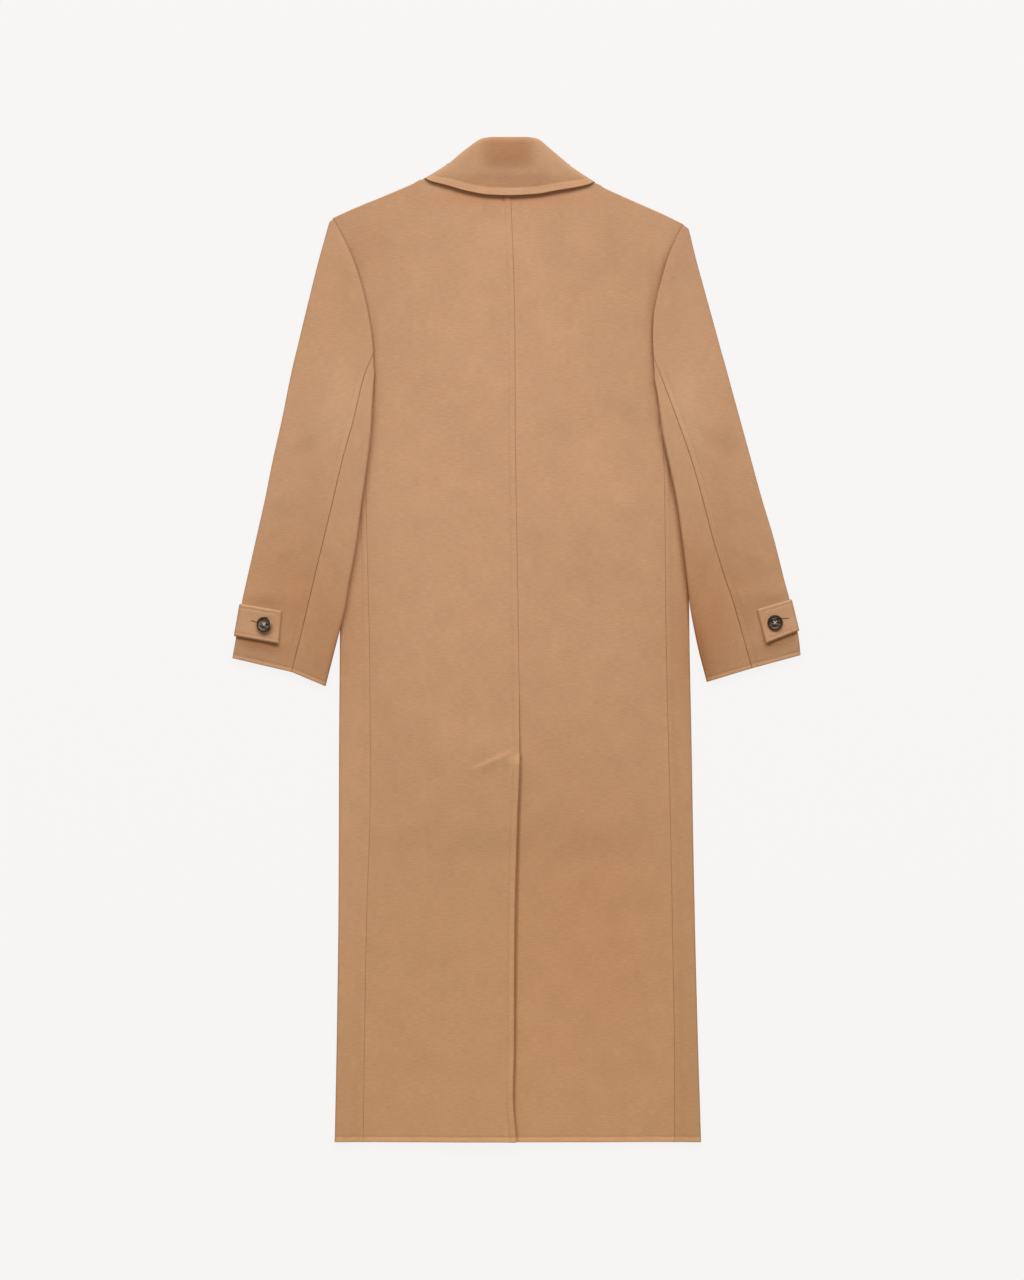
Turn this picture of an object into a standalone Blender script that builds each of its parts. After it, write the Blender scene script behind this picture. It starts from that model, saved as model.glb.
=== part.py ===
"""A long double-breasted wool coat, laid out flat with its back up.

Metres. X runs across the coat, Y from hem to collar, Z up from the surface it lies on.
Left and right are the wearer's, so the left half lies at negative X. Every cloth piece is a
thin wall about a grid of mid points, and each layer rests on the layers drawn beneath it.
"""

import math
from collections import namedtuple

import bmesh
import bpy
from mathutils import Vector

# Cloth and the room between pieces
CLOTH = 0.0022
SEAM = 0.0003
LIE = 0.0007
HALF = CLOTH / 2
LAYER = CLOTH + LIE

# Finishes, colours linear
CAMEL = (0.50, 0.28, 0.155, 1.0)
CAMEL_ROUGHNESS = 0.95
HORN = (0.020, 0.012, 0.008, 1.0)
HORN_ROUGHNESS = 0.35
SHARP_ANGLE = math.radians(35)

# Lengthwise places
HEM_Y = -0.652
VENT_FOOT_Y = -0.168
VENT_TOP_Y = -0.146
VENT_TOP_X = 0.0040
UNDERARM_Y = 0.262
UNDERARM_DIP = 0.014
DIP_FROM_Y = 0.170

# Lengthwise seams of the body, a row for each height
Line = namedtuple(
    "Line", "y centre seam_left edge_left front_left seam_right edge_right front_right"
)
BODY = (
    Line(HEM_Y, -0.0005, -0.1992, -0.2362, -0.150, 0.2054, 0.2398, 0.150),
    Line(-0.530, -0.0035, -0.1976, -0.2338, -0.156, 0.2053, 0.2360, 0.156),
    Line(-0.370, -0.0030, -0.1950, -0.2315, -0.163, 0.2026, 0.2319, 0.162),
    Line(-0.225, 0.0010, -0.1905, -0.2308, -0.169, 0.1998, 0.2290, 0.168),
    Line(VENT_TOP_Y, VENT_TOP_X, -0.1900, -0.2306, -0.172, 0.1977, 0.2277, 0.171),
    Line(0.000, 0.0025, -0.1912, -0.2295, -0.178, 0.1943, 0.2248, 0.176),
    Line(DIP_FROM_Y, -0.0002, -0.1952, -0.2280, -0.188, 0.1928, 0.2228, 0.184),
    Line(UNDERARM_Y, -0.0015, -0.1970, -0.2262, -0.197, 0.1910, 0.2210, 0.191),
    Line(0.450, -0.0030, -0.1970, -0.2262, -0.197, 0.1910, 0.2210, 0.191),
    Line(0.601, -0.0085, -0.1970, -0.2262, -0.197, 0.1910, 0.2210, 0.191),
)
SKIRT_STEPS = 8
WAIST_STEPS = 8

# Armhole seams from the underarm to the shoulder tip
Armhole = namedtuple("Armhole", "left_x left_y right_x right_y")
ARMHOLE = (
    Armhole(-0.1970, UNDERARM_Y, 0.1910, UNDERARM_Y),
    Armhole(-0.1865, 0.3130, 0.1842, 0.3130),
    Armhole(-0.1860, 0.3740, 0.1779, 0.3700),
    Armhole(-0.1915, 0.4180, 0.1777, 0.4180),
    Armhole(-0.2030, 0.4640, 0.1862, 0.4620),
    Armhole(-0.2170, 0.5050, 0.1975, 0.5030),
    Armhole(-0.2385, 0.5480, 0.2165, 0.5380),
)
ARMHOLE_SPAN = 2
SEAM_TOP = 4
TIP_SHARE = 0.78

# Back neck and shoulder line, as a rise above the straight line from centre to shoulder tip
Rise = namedtuple("Rise", "share left right")
BACK_TOP = (
    Rise(0.0, 0.0, 0.0),
    Rise(0.093, 0.0053, 0.0057),
    Rise(0.224, 0.0129, 0.0135),
    Rise(0.357, 0.0155, 0.0160),
    Rise(0.492, 0.0180, 0.0166),
    Rise(0.55, 0.0208, 0.0211),
    Rise(0.62, 0.0179, 0.0184),
    Rise(0.75, 0.0121, 0.0130),
    Rise(0.88, 0.0063, 0.0075),
    Rise(1.0, 0.0, 0.0),
)
BACK_NECK_Y = 0.6012
FRONT_TOP = (
    Rise(0.0, 0.0, 0.0),
    Rise(0.05, 0.0012, 0.0012),
    Rise(0.097, 0.0125, 0.0120),
    Rise(0.188, 0.0245, 0.0220),
    Rise(0.262, 0.0255, 0.0228),
    Rise(0.336, 0.0240, 0.0220),
    Rise(0.44, 0.0275, 0.0265),
    Rise(0.55, 0.0236, 0.0227),
    Rise(0.66, 0.0182, 0.0177),
    Rise(0.77, 0.0127, 0.0128),
    Rise(0.88, 0.0071, 0.0079),
    Rise(1.0, 0.0, 0.0),
)
CROWN_FROM_Y = 0.44

# Fronts: the right laps over the left, and both turn back along a straight roll line
BREAK_Y = 0.165
GORGE_Y = 0.572
PEAK_Y = 0.515
Front = namedtuple("Front", "edge_x neck_x peak_x leaf_from leaf_to")
FRONTS = {
    "left": Front(0.080, -0.0625, -0.160, -0.120, -0.058),
    "right": Front(-0.095, 0.0475, 0.150, 0.040, 0.105),
}
LEAF_Y = 0.545
LAPEL_FOOT_Y = 0.187
LAPEL_ROWS = 14
LAPEL_COLUMNS = 6

# Vent underlap of the right back
UNDERLAP_X = -0.054
UNDERLAP_SLOPE = (VENT_TOP_Y - VENT_FOOT_Y) / (VENT_TOP_X - UNDERLAP_X)

# How far a layer stays up past an edge beneath it, and how far it takes to come down
MARGIN = 0.020
FRONT_REACH = 0.055
BACK_REACH = 0.110
NECK_CENTRE_X = -0.0085
NECK_HALF_WIDTH = 0.125
NECK_FROM_Y = 0.578
NECK_REACH = 0.060
LAPEL_EASE = 0.0006

# Folds at the sides
SIDE_PUFF = 0.0026
FOLD_STEPS = 4
LEG_STEPS = 3

# Sleeves: outer edge at the cap, then a row for each section down to the cuff
Cap = namedtuple("Cap", "y left right")
CAP_EDGE = (
    Cap(0.370, -0.2872, 0.2674),
    Cap(0.442, -0.2698, 0.2477),
    Cap(0.494, -0.2568, 0.2334),
    Cap(0.530, -0.2465, 0.2243),
    Cap(0.552, -0.2395, 0.2165),
)
Sleeve = namedtuple("Sleeve", "outer_x outer_y seam_x seam_y inner_x inner_y")
SLEEVES = {
    "left": (
        Sleeve(-0.2887, 0.364, -0.1890, 0.3690, -0.1868, 0.347),
        Sleeve(-0.2945, 0.338, -0.1985, 0.3400, -0.1876, 0.322),
        Sleeve(-0.3049, 0.286, -0.2113, 0.2860, -0.1890, 0.270),
        Sleeve(-0.3166, 0.234, -0.2256, 0.2340, -0.1943, 0.223),
        Sleeve(-0.3270, 0.182, -0.2378, 0.1820, -0.2010, 0.176),
        Sleeve(-0.3387, 0.130, -0.2502, 0.1300, -0.2080, 0.122),
        Sleeve(-0.3504, 0.078, -0.2628, 0.0780, -0.2175, 0.070),
        Sleeve(-0.3560, 0.052, -0.2690, 0.0510, -0.2215, 0.044),
        Sleeve(-0.3648, 0.000, -0.2815, -0.0005, -0.2360, -0.014),
        Sleeve(-0.3692, -0.0235, -0.2922, -0.0415, -0.2480, -0.060),
    ),
    "right": (
        Sleeve(0.2692, 0.364, 0.1812, 0.3590, 0.1829, 0.338),
        Sleeve(0.2763, 0.338, 0.1920, 0.3300, 0.1852, 0.316),
        Sleeve(0.2906, 0.286, 0.2085, 0.2860, 0.1905, 0.270),
        Sleeve(0.3049, 0.234, 0.2267, 0.2340, 0.1990, 0.223),
        Sleeve(0.3192, 0.182, 0.2415, 0.1820, 0.2085, 0.176),
        Sleeve(0.3348, 0.130, 0.2550, 0.1300, 0.2160, 0.122),
        Sleeve(0.3478, 0.078, 0.2712, 0.0780, 0.2222, 0.070),
        Sleeve(0.3545, 0.053, 0.2798, 0.0530, 0.2243, 0.048),
        Sleeve(0.3668, 0.001, 0.2955, -0.0010, 0.2345, -0.006),
        Sleeve(0.3690, -0.0195, 0.3056, -0.0350, 0.2470, -0.0545),
    ),
}
# Height of each of those sections over the floor and over the body, half its hollow, and
# how much of the step down to the armhole it still has
Rest = namedtuple("Rest", "outer inner puff drop")
CAP_REST = Rest(0.0, 0.0, 0.0026, 1.0)
RESTS = (
    Rest(0.0, 0.0012, 0.0019, 0.5),
    Rest(0.0, 0.0050, 0.0023, 0.2),
    Rest(0.0, 0.0081, 0.0026, 0.0),
    Rest(0.0, 0.0081, 0.0026, 0.0),
    Rest(0.0, 0.0081, 0.0026, 0.0),
    Rest(0.0, 0.0081, 0.0026, 0.0),
    Rest(0.0012, 0.0081, 0.0026, 0.0),
    Rest(LAYER, 0.0081, 0.0026, 0.0),
    Rest(LAYER, 0.0066, 0.0025, 0.0),
    Rest(0.0006, 0.0012, 0.0023, 0.0),
)
REST_FROM_X = 0.290
REST_FULL_X = 0.243
ARMHOLE_FADE = 0.018
UPPER_STEPS = 6
UNDER_STEPS = 3

# Cuff tabs wrap the outer edge between these two sections: the height at which the top and the
# bottom of each leave that edge, and their free ends
TAB_SECTION = 7
Tab = namedtuple("Tab", "outer_y free_x free_y")
TABS = {
    "left": (Tab(0.0468, -0.3045, 0.0377), Tab(0.0046, -0.3088, -0.0052)),
    "right": (Tab(0.0523, 0.3119, 0.0397), Tab(0.0111, 0.3237, -0.0046)),
}
TAB_ROWS = 4
TAB_UNDER = 0.026
TAB_STEPS = 4

# Collar: neck seam, roll and outer edge of each section from the centre back to a front end,
# the roll's radius, and how far the section has turned from the back to the front
Collar = namedtuple("Collar", "neck_x neck_y roll_x roll_y edge_x edge_y radius turn")
COLLAR_CENTRE = Collar(-0.0085, 0.6018, -0.0090, 0.6526, -0.0085, 0.5759, 0.0056, 0)
COLLARS = {
    "left": (
        Collar(-0.0300, 0.6021, -0.0285, 0.6526, -0.0345, 0.5767, 0.0056, 0),
        Collar(-0.0580, 0.6030, -0.0450, 0.6512, -0.0610, 0.5808, 0.0050, 0),
        Collar(-0.0740, 0.6020, -0.0660, 0.6364, -0.0900, 0.5888, 0.0034, 0),
        Collar(-0.0870, 0.6008, -0.0860, 0.6200, -0.1130, 0.5950, 0.0018, 0),
        Collar(-0.0905, 0.5990, -0.0885, 0.6160, -0.1168, 0.5945, 0.0015, 45),
        Collar(-0.0913, 0.5975, -0.0890, 0.6120, -0.1190, 0.5935, 0.0014, 90),
        Collar(-0.0900, 0.5955, -0.0885, 0.6085, -0.1170, 0.5900, 0.0014, 135),
        Collar(-0.0875, 0.5940, -0.0865, 0.6060, -0.1150, 0.5860, 0.0014, 180),
        Collar(-0.0790, 0.5850, -0.0740, 0.5930, -0.1120, 0.5660, 0.0014, 180),
        Collar(-0.0705, 0.5745, -0.0620, 0.5775, -0.1060, 0.5495, 0.0014, 180),
    ),
    "right": (
        Collar(0.0140, 0.6016, 0.0110, 0.6526, 0.0250, 0.5776, 0.0056, 0),
        Collar(0.0380, 0.6014, 0.0265, 0.6512, 0.0527, 0.5824, 0.0050, 0),
        Collar(0.0540, 0.6002, 0.0450, 0.6360, 0.0740, 0.5858, 0.0034, 0),
        Collar(0.0670, 0.5990, 0.0640, 0.6200, 0.0950, 0.5905, 0.0018, 0),
        Collar(0.0700, 0.5975, 0.0665, 0.6150, 0.0985, 0.5900, 0.0015, 45),
        Collar(0.0708, 0.5960, 0.0672, 0.6105, 0.1003, 0.5890, 0.0014, 90),
        Collar(0.0695, 0.5940, 0.0667, 0.6070, 0.0985, 0.5855, 0.0014, 135),
        Collar(0.0670, 0.5920, 0.0645, 0.6040, 0.0965, 0.5815, 0.0014, 180),
        Collar(0.0590, 0.5840, 0.0540, 0.5915, 0.0940, 0.5630, 0.0014, 180),
        Collar(0.0510, 0.5755, 0.0440, 0.5785, 0.0880, 0.5530, 0.0014, 180),
    ),
}
COLLAR_OUT = {"left": Vector((-0.58, 0.815)), "right": Vector((0.56, 0.83))}
NECK_MID_Z = 2 * LAYER - LIE / 2
STAND_OUT = LAYER / 2
COLLAR_LIFT = 0.0006
STAND_STEPS = 3
FALL_STEPS = 5

# Buttons
BUTTON_THICK = 0.0038
BUTTON_SIDES = 20
HOLES = 4
HOLE_RADIUS = 0.0011
HOLE_SIDES = 6
HOLE_SPREAD = 0.15
# Turned profile from the foot over the rim to the sunk middle, in shares of radius and thickness
Turn = namedtuple("Turn", "radius height")
BUTTON_PROFILE = (
    Turn(0.72, 0.0),
    Turn(1.0, 0.36),
    Turn(1.0, 0.68),
    Turn(0.91, 1.0),
    Turn(0.76, 1.0),
    Turn(0.62, 0.70),
)
CUFF_BUTTON_RADIUS = 0.0100
FRONT_BUTTON_RADIUS = 0.0140
BUTTON_ROOM = BUTTON_THICK + SEAM + LIE / 2
CUFF_BUTTON_PLACE = {"left": Vector((-0.3268, 0.0200)), "right": Vector((0.3353, 0.0226))}
FRONT_BUTTON_X = {"left": -0.078, "right": 0.066}
FRONT_BUTTON_Y = (0.120, -0.020, -0.160)
FIELD_X = 0.098
FIELD_TOP_Y = 0.145
FIELD_FOOT_Y = -0.182


def clear_scene():
    for old in list(bpy.data.objects):
        bpy.data.objects.remove(old)


def surface(name, colour, roughness):
    material = bpy.data.materials.new(name)
    material.use_nodes = True
    shader = material.node_tree.nodes["Principled BSDF"]
    shader.inputs["Base Color"].default_value = colour
    shader.inputs["Roughness"].default_value = roughness
    shader.inputs["Metallic"].default_value = 0.0
    return material


def mix(a, b, share):
    return a + (b - a) * share


def smooth(share):
    share = min(max(share, 0.0), 1.0)
    return share * share * (3 - 2 * share)


def hermite(a, b, slope_a, slope_b, share):
    """Cubic from a to b; the slopes are per whole span."""
    s2 = share * share
    s3 = s2 * share
    start = a * (2 * s3 - 3 * s2 + 1) + slope_a * (s3 - 2 * s2 + share)
    return start + b * (3 * s2 - 2 * s3) + slope_b * (s3 - s2)


def at_height(table, column, y):
    """A table's column read at height y, along a smooth line through its rows."""
    heights = [row.y for row in table]
    values = [getattr(row, column) for row in table]
    last = len(table) - 1
    k = max(i for i in range(last) if y >= heights[i] or i == 0)
    span = heights[k + 1] - heights[k]

    def slope(i):
        low = max(i - 1, 0)
        high = min(i + 1, last)
        return (values[high] - values[low]) / (heights[high] - heights[low]) * span

    share = (y - heights[k]) / span
    return hermite(values[k], values[k + 1], slope(k), slope(k + 1), share)


def spline(points, steps):
    """Points along a smooth curve through the given ones, steps to a span."""
    last = len(points) - 1
    found = []
    for k in range(last):
        before = points[max(k - 1, 0)]
        after = points[min(k + 2, last)]
        slope_a = (points[k + 1] - before) / (2 if k else 1)
        slope_b = (after - points[k]) / (2 if k + 1 < last else 1)
        for step in range(steps):
            found.append(hermite(points[k], points[k + 1], slope_a, slope_b, step / steps))
    return found + [points[last]]


def armhole(side):
    points = [
        Vector((getattr(row, side + "_x"), getattr(row, side + "_y"))) for row in ARMHOLE
    ]
    return spline(points, ARMHOLE_SPAN)


def body_rows():
    skirt = [mix(HEM_Y, VENT_FOOT_Y, k / SKIRT_STEPS) for k in range(SKIRT_STEPS + 1)]
    waist = [mix(VENT_TOP_Y, UNDERARM_Y, k / WAIST_STEPS) for k in range(WAIST_STEPS + 1)]
    return skirt + waist


def outward(side):
    return -1 if side == "left" else 1


# Heights of the layers


def cover(depth, reach):
    """1 over a layer and its margin, 0 once the cloth above has come down past it."""
    return smooth(1 + (depth + MARGIN) / reach)


def front_edge(side, y):
    """The front's free edge, and its roll line above the break."""
    front = FRONTS[side]
    share = max(y - BREAK_Y, 0.0) / (GORGE_Y - BREAK_Y)
    return mix(front.edge_x, front.neck_x, share)


def lapel_edge(side, y):
    front = FRONTS[side]
    return mix(front.edge_x, front.peak_x, (y - BREAK_Y) / (PEAK_Y - BREAK_Y))


def front_cover(side, x, y, reach):
    return cover((x - front_edge(side, y)) * outward(side), reach)


def lapel_cover(side, x, y, reach):
    inside = (x - front_edge(side, y)) * outward(side)
    beyond = (lapel_edge(side, y) - x) * outward(side)
    return cover(min(inside, beyond, y - BREAK_Y, GORGE_Y - y), reach)


def leaf_cover(side, x, y, reach):
    front = FRONTS[side]
    return cover(min(x - front.leaf_from, front.leaf_to - x, y - LEAF_Y), reach)


def field_cover(x, y, reach):
    return cover(min(FIELD_X - abs(x), FIELD_TOP_Y - y, y - FIELD_FOOT_Y), reach)


def under_right(x, y, reach):
    turned = max(lapel_cover("right", x, y, reach), leaf_cover("right", x, y, reach))
    return max(LAYER * turned, BUTTON_ROOM * field_cover(x, y, reach))


def on_right(x, y, reach):
    return (under_right(x, y, reach) + LAYER) * front_cover("right", x, y, reach)


def under_left(x, y, reach):
    turned = max(lapel_cover("left", x, y, reach), leaf_cover("left", x, y, reach))
    return on_right(x, y, reach) + (LAYER + LAPEL_EASE) * turned


def on_left(x, y, reach):
    over = (under_left(x, y, reach) + LAYER) * front_cover("left", x, y, reach)
    return max(over, on_right(x, y, reach))


def back_base(x, y):
    depth = min(NECK_HALF_WIDTH - abs(x - NECK_CENTRE_X), y - NECK_FROM_Y)
    return mix(on_left(x, y, BACK_REACH), 2 * LAYER, cover(depth, NECK_REACH))


def lapped_base(x, y):
    """The left back, lifted where the right back's underlap runs beneath it."""
    diagonal = VENT_TOP_Y - (VENT_TOP_X - x) * UNDERLAP_SLOPE - y
    lap = cover(min(x - UNDERLAP_X, diagonal), FRONT_REACH)
    return back_base(x, y) + LAYER * lap


# Cloth walls


def wall(name, rows, material):
    """A closed wall of even thickness about a grid of mid points."""
    deep = len(rows)
    wide = len(rows[0])
    mesh = bmesh.new()
    upper = []
    lower = []
    for i in range(deep):
        for j in range(wide):
            across = rows[i][min(j + 1, wide - 1)] - rows[i][max(j - 1, 0)]
            along = rows[min(i + 1, deep - 1)][j] - rows[max(i - 1, 0)][j]
            normal = across.cross(along).normalized()
            upper.append(mesh.verts.new(rows[i][j] + normal * HALF))
            lower.append(mesh.verts.new(rows[i][j] - normal * HALF))
    for i in range(deep - 1):
        for j in range(wide - 1):
            a = i * wide + j
            ring = (a, a + 1, a + wide + 1, a + wide)
            mesh.faces.new([upper[k] for k in ring])
            mesh.faces.new([lower[k] for k in reversed(ring)])
    rim = list(range(wide))
    rim += [i * wide + wide - 1 for i in range(1, deep)]
    rim += [(deep - 1) * wide + j for j in range(wide - 2, -1, -1)]
    rim += [i * wide for i in range(deep - 2, 0, -1)]
    for a, b in zip(rim, rim[1:] + rim[:1]):
        mesh.faces.new((upper[a], lower[a], lower[b], upper[b]))
    bmesh.ops.recalc_face_normals(mesh, faces=mesh.faces)
    data = bpy.data.meshes.new(name)
    mesh.to_mesh(data)
    mesh.free()
    return add_object(name, data, material)


def add_object(name, data, material):
    data.materials.clear()
    data.materials.append(material)
    data.shade_smooth()
    data.set_sharp_from_angle(angle=SHARP_ANGLE)
    made = bpy.data.objects.new(name, data)
    bpy.context.scene.collection.objects.link(made)
    return made


def panel_row(inner, outer, table, side, crown, height):
    """Mid points from an inner to an outer edge, risen to the neck and shoulder line by crown."""
    row = []
    for rise in table:
        x = mix(inner.x, outer.x, rise.share)
        y = mix(inner.y, outer.y, rise.share) + getattr(rise, side) * crown
        row.append(Vector((x, y, height(x, y) + HALF)))
    return row


def panel(side, seam, inner_edge, neck_y, table, height):
    """Rows of a back or front: up its lengthwise seam, then up the armhole to the shoulder."""
    gap = Vector((SEAM / 2, 0.0)) * outward(side)
    rows = []
    for y in body_rows():
        inner = Vector((inner_edge(y), y))
        outer = Vector((at_height(BODY, f"{seam}_{side}", y), y)) - gap
        rows.append(panel_row(inner, outer, table, side, 0.0, height))
    hole = armhole(side)
    tip_y = hole[-1].y
    for point in hole[1:]:
        y = mix(UNDERARM_Y, neck_y, (point.y - UNDERARM_Y) / (tip_y - UNDERARM_Y))
        crown = smooth((point.y - CROWN_FROM_Y) / (tip_y - CROWN_FROM_Y))
        inner = Vector((inner_edge(y), y))
        rows.append(panel_row(inner, point - gap, table, side, crown, height))
    return rows


def left_back_edge(y):
    return at_height(BODY, "centre", y) - SEAM / 2


def right_back_edge(y):
    if y <= VENT_FOOT_Y:
        return UNDERLAP_X
    return at_height(BODY, "centre", y) + SEAM / 2


def back(side, material):
    edge = left_back_edge if side == "left" else right_back_edge
    height = lapped_base if side == "left" else back_base
    rows = panel(side, "seam", edge, BACK_NECK_Y, BACK_TOP, height)
    return wall(f"back_{side}", rows, material)


def front(side, material):
    under = under_left if side == "left" else under_right
    rows = panel(
        side,
        "front",
        lambda y: front_edge(side, y),
        GORGE_Y,
        FRONT_TOP,
        lambda x, y: under(x, y, FRONT_REACH),
    )
    return wall(f"front_{side}", rows, material)


def lapel(side, material):
    """The turned-back top of a front, on the front's outer face."""
    rows = []
    for i in range(LAPEL_ROWS):
        share = i / (LAPEL_ROWS - 1)
        inner_y = mix(LAPEL_FOOT_Y, GORGE_Y, share)
        outer_y = mix(LAPEL_FOOT_Y, PEAK_Y, share)
        inner = Vector((front_edge(side, inner_y), inner_y))
        outer = Vector((lapel_edge(side, outer_y), outer_y))
        row = []
        for j in range(LAPEL_COLUMNS):
            point = inner.lerp(outer, j / (LAPEL_COLUMNS - 1))
            low = on_right(point.x, point.y, FRONT_REACH) if side == "left" else 0.0
            row.append(point.to_3d() + Vector((0, 0, low + HALF)))
        rows.append(row)
    return wall(f"lapel_{side}", rows, material)


# Folded pieces


def bend(centre, inward, puff, steps):
    """Half a turn from the top leg round the outer side to the bottom leg."""
    points = []
    for k in range(steps + 1):
        angle = math.pi / 2 - math.pi * k / steps
        out = inward.to_3d() * (-puff * math.cos(angle))
        points.append(centre + out + Vector((0, 0, puff * math.sin(angle))))
    return points


def legs(start, stop, height, steps):
    """Points from start towards stop, which is left out."""
    found = []
    for k in range(steps):
        point = start.lerp(stop, k / steps)
        found.append(point.to_3d() + Vector((0, 0, height(point, k / steps))))
    return found


def side_panel(side, material):
    inward = Vector((-outward(side), 0.0))
    gap = inward * SEAM / 2
    rows = []
    for y in body_rows():
        dip = UNDERARM_DIP * smooth((y - DIP_FROM_Y) / (UNDERARM_Y - DIP_FROM_Y))
        edge = Vector((at_height(BODY, f"edge_{side}", y), y - dip))
        seam = Vector((at_height(BODY, f"seam_{side}", y), y)) - gap
        front_seam = Vector((at_height(BODY, f"front_{side}", y), y)) - gap
        turn = edge + inward * (HALF + SIDE_PUFF)
        seam_z = back_base(seam.x, seam.y) + HALF
        fold_z = HALF + 2 * SIDE_PUFF
        top = legs(seam, turn, lambda p, s: mix(seam_z, fold_z, smooth(s)), LEG_STEPS)
        fold = bend(turn.to_3d() + Vector((0, 0, HALF + SIDE_PUFF)), inward, SIDE_PUFF, FOLD_STEPS)
        under = legs(front_seam, turn, lambda p, s: HALF, LEG_STEPS)
        rows.append(top + fold + under[::-1])
    return wall(f"side_{side}", rows, material)


Section = namedtuple("Section", "outer seam inner rest")


def cap_sections(side):
    """From the shoulder tip down the armhole to the top of the sleeve seam."""
    hole = armhole(side)
    points = [hole[-2].lerp(hole[-1], TIP_SHARE)] + hole[-2 : SEAM_TOP - 1 : -1]
    found = []
    for point in points:
        outer = Vector((at_height(CAP_EDGE, side, point.y), point.y))
        found.append(Section(outer, point, None, CAP_REST))
    return found


def arm_sections(side):
    found = []
    for row, rest in zip(SLEEVES[side], RESTS):
        outer = Vector((row.outer_x, row.outer_y))
        seam = Vector((row.seam_x, row.seam_y))
        found.append(Section(outer, seam, Vector((row.inner_x, row.inner_y)), rest))
    return found


def rest_height(rest, point):
    share = smooth((REST_FROM_X - abs(point.x)) / (REST_FROM_X - REST_FULL_X))
    return mix(rest.outer, rest.inner, share)


def sleeve_top(section, point, from_end):
    """Mid height of the top layer, which steps down to the back at the armhole."""
    rest = section.rest
    full = rest_height(rest, point) + HALF + 2 * rest.puff
    end = section.seam if section.inner is None else section.inner
    low = back_base(end.x, end.y) + HALF
    return full - rest.drop * max(full - low, 0.0) * smooth(1 - from_end / ARMHOLE_FADE)


def sleeve_half(section, tip, seam, steps):
    """Mid points from a seam on top, round the fold at tip, to the seam beneath."""
    rest = section.rest
    inward = (seam - tip).normalized()
    turn = tip + inward * (HALF + rest.puff)
    end = section.seam if section.inner is None else section.inner
    low_end = rest_height(rest, turn) + HALF
    fold_top = sleeve_top(section, turn, (turn - end).length)
    puff = (fold_top - low_end) / 2
    top = legs(seam, turn, lambda p, s: sleeve_top(section, p, (p - end).length), steps)
    fold = bend(turn.to_3d() + Vector((0, 0, low_end + puff)), inward, puff, FOLD_STEPS)
    under = legs(seam, turn, lambda p, s: rest_height(rest, p) + HALF, steps)
    return top + fold + under[::-1]


def upper_sleeve(side, material):
    gap = Vector((SEAM, 0.0)) * outward(side)
    rows = []
    for section in cap_sections(side) + arm_sections(side):
        rows.append(sleeve_half(section, section.outer, section.seam + gap, UPPER_STEPS))
    return wall(f"upper_sleeve_{side}", rows, material)


def under_sleeve(side, material):
    gap = Vector((SEAM, 0.0)) * outward(side)
    rows = []
    for section in arm_sections(side):
        rows.append(sleeve_half(section, section.inner, section.seam - gap, UNDER_STEPS))
    return wall(f"under_sleeve_{side}", rows, material)


def tab_section(side, outer_y):
    """The sleeve's section that meets its outer edge at a height within its tab."""
    first, second = arm_sections(side)[TAB_SECTION : TAB_SECTION + 2]
    share = (outer_y - first.outer.y) / (second.outer.y - first.outer.y)
    rest = Rest(*(mix(a, b, share) for a, b in zip(first.rest, second.rest)))
    return Section(
        first.outer.lerp(second.outer, share),
        first.seam.lerp(second.seam, share),
        first.inner.lerp(second.inner, share),
        rest,
    )


def cuff_tab(side, material):
    """A strap on the sleeve's surface, moved out by one layer."""
    top_edge, bottom_edge = TABS[side]
    rows = []
    for k in range(TAB_ROWS):
        share = k / (TAB_ROWS - 1)
        line = Tab(*(mix(a, b, share) for a, b in zip(top_edge, bottom_edge)))
        section = tab_section(side, line.outer_y)
        rest = section.rest
        free = Vector((line.free_x, line.free_y))
        inward = (free - section.outer).normalized()
        turn = section.outer + inward * (HALF + rest.puff)
        hidden = section.outer + inward * TAB_UNDER
        middle = turn.to_3d() + Vector((0, 0, rest_height(rest, turn) + HALF + rest.puff))
        top = legs(
            free,
            turn,
            lambda p, s: rest_height(rest, p) + HALF + 2 * rest.puff + LAYER,
            TAB_STEPS,
        )
        fold = bend(middle, inward, rest.puff + LAYER, FOLD_STEPS)
        under = legs(hidden, turn, lambda p, s: rest_height(rest, p) + HALF - LAYER, TAB_STEPS)
        rows.append(top + fold + under[::-1])
    return wall(f"cuff_tab_{side}", rows, material)


# Collar


def collar_row(station, out):
    """One section: up the stand, over the roll and down the fall, turned about the neck."""
    neck = Vector((station.neck_x, station.neck_y))
    roll = Vector((station.roll_x, station.roll_y))
    edge = Vector((station.edge_x, station.edge_y))
    up = (roll - neck).normalized()
    top = roll - up * (HALF + station.radius)
    turned = math.radians(station.turn)
    back_share = (1 + math.cos(turned)) / 2
    fall_out = STAND_OUT + 2 * station.radius
    edge_out = STAND_OUT + LAYER + COLLAR_LIFT * back_share
    flat = [(neck.lerp(top, k / STAND_STEPS), STAND_OUT) for k in range(STAND_STEPS)]
    for k in range(FOLD_STEPS + 1):
        angle = math.pi * k / FOLD_STEPS
        place = top + up * station.radius * math.sin(angle)
        flat.append((place, STAND_OUT + station.radius * (1 - math.cos(angle))))
    for k in range(1, FALL_STEPS + 1):
        share = k / FALL_STEPS
        flat.append((top.lerp(edge, share), mix(fall_out, edge_out, smooth(share))))
    row = []
    for place, away in flat:
        moved = place + out * away * math.sin(turned)
        row.append(moved.to_3d() + Vector((0, 0, NECK_MID_Z + away * math.cos(turned))))
    return row


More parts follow.
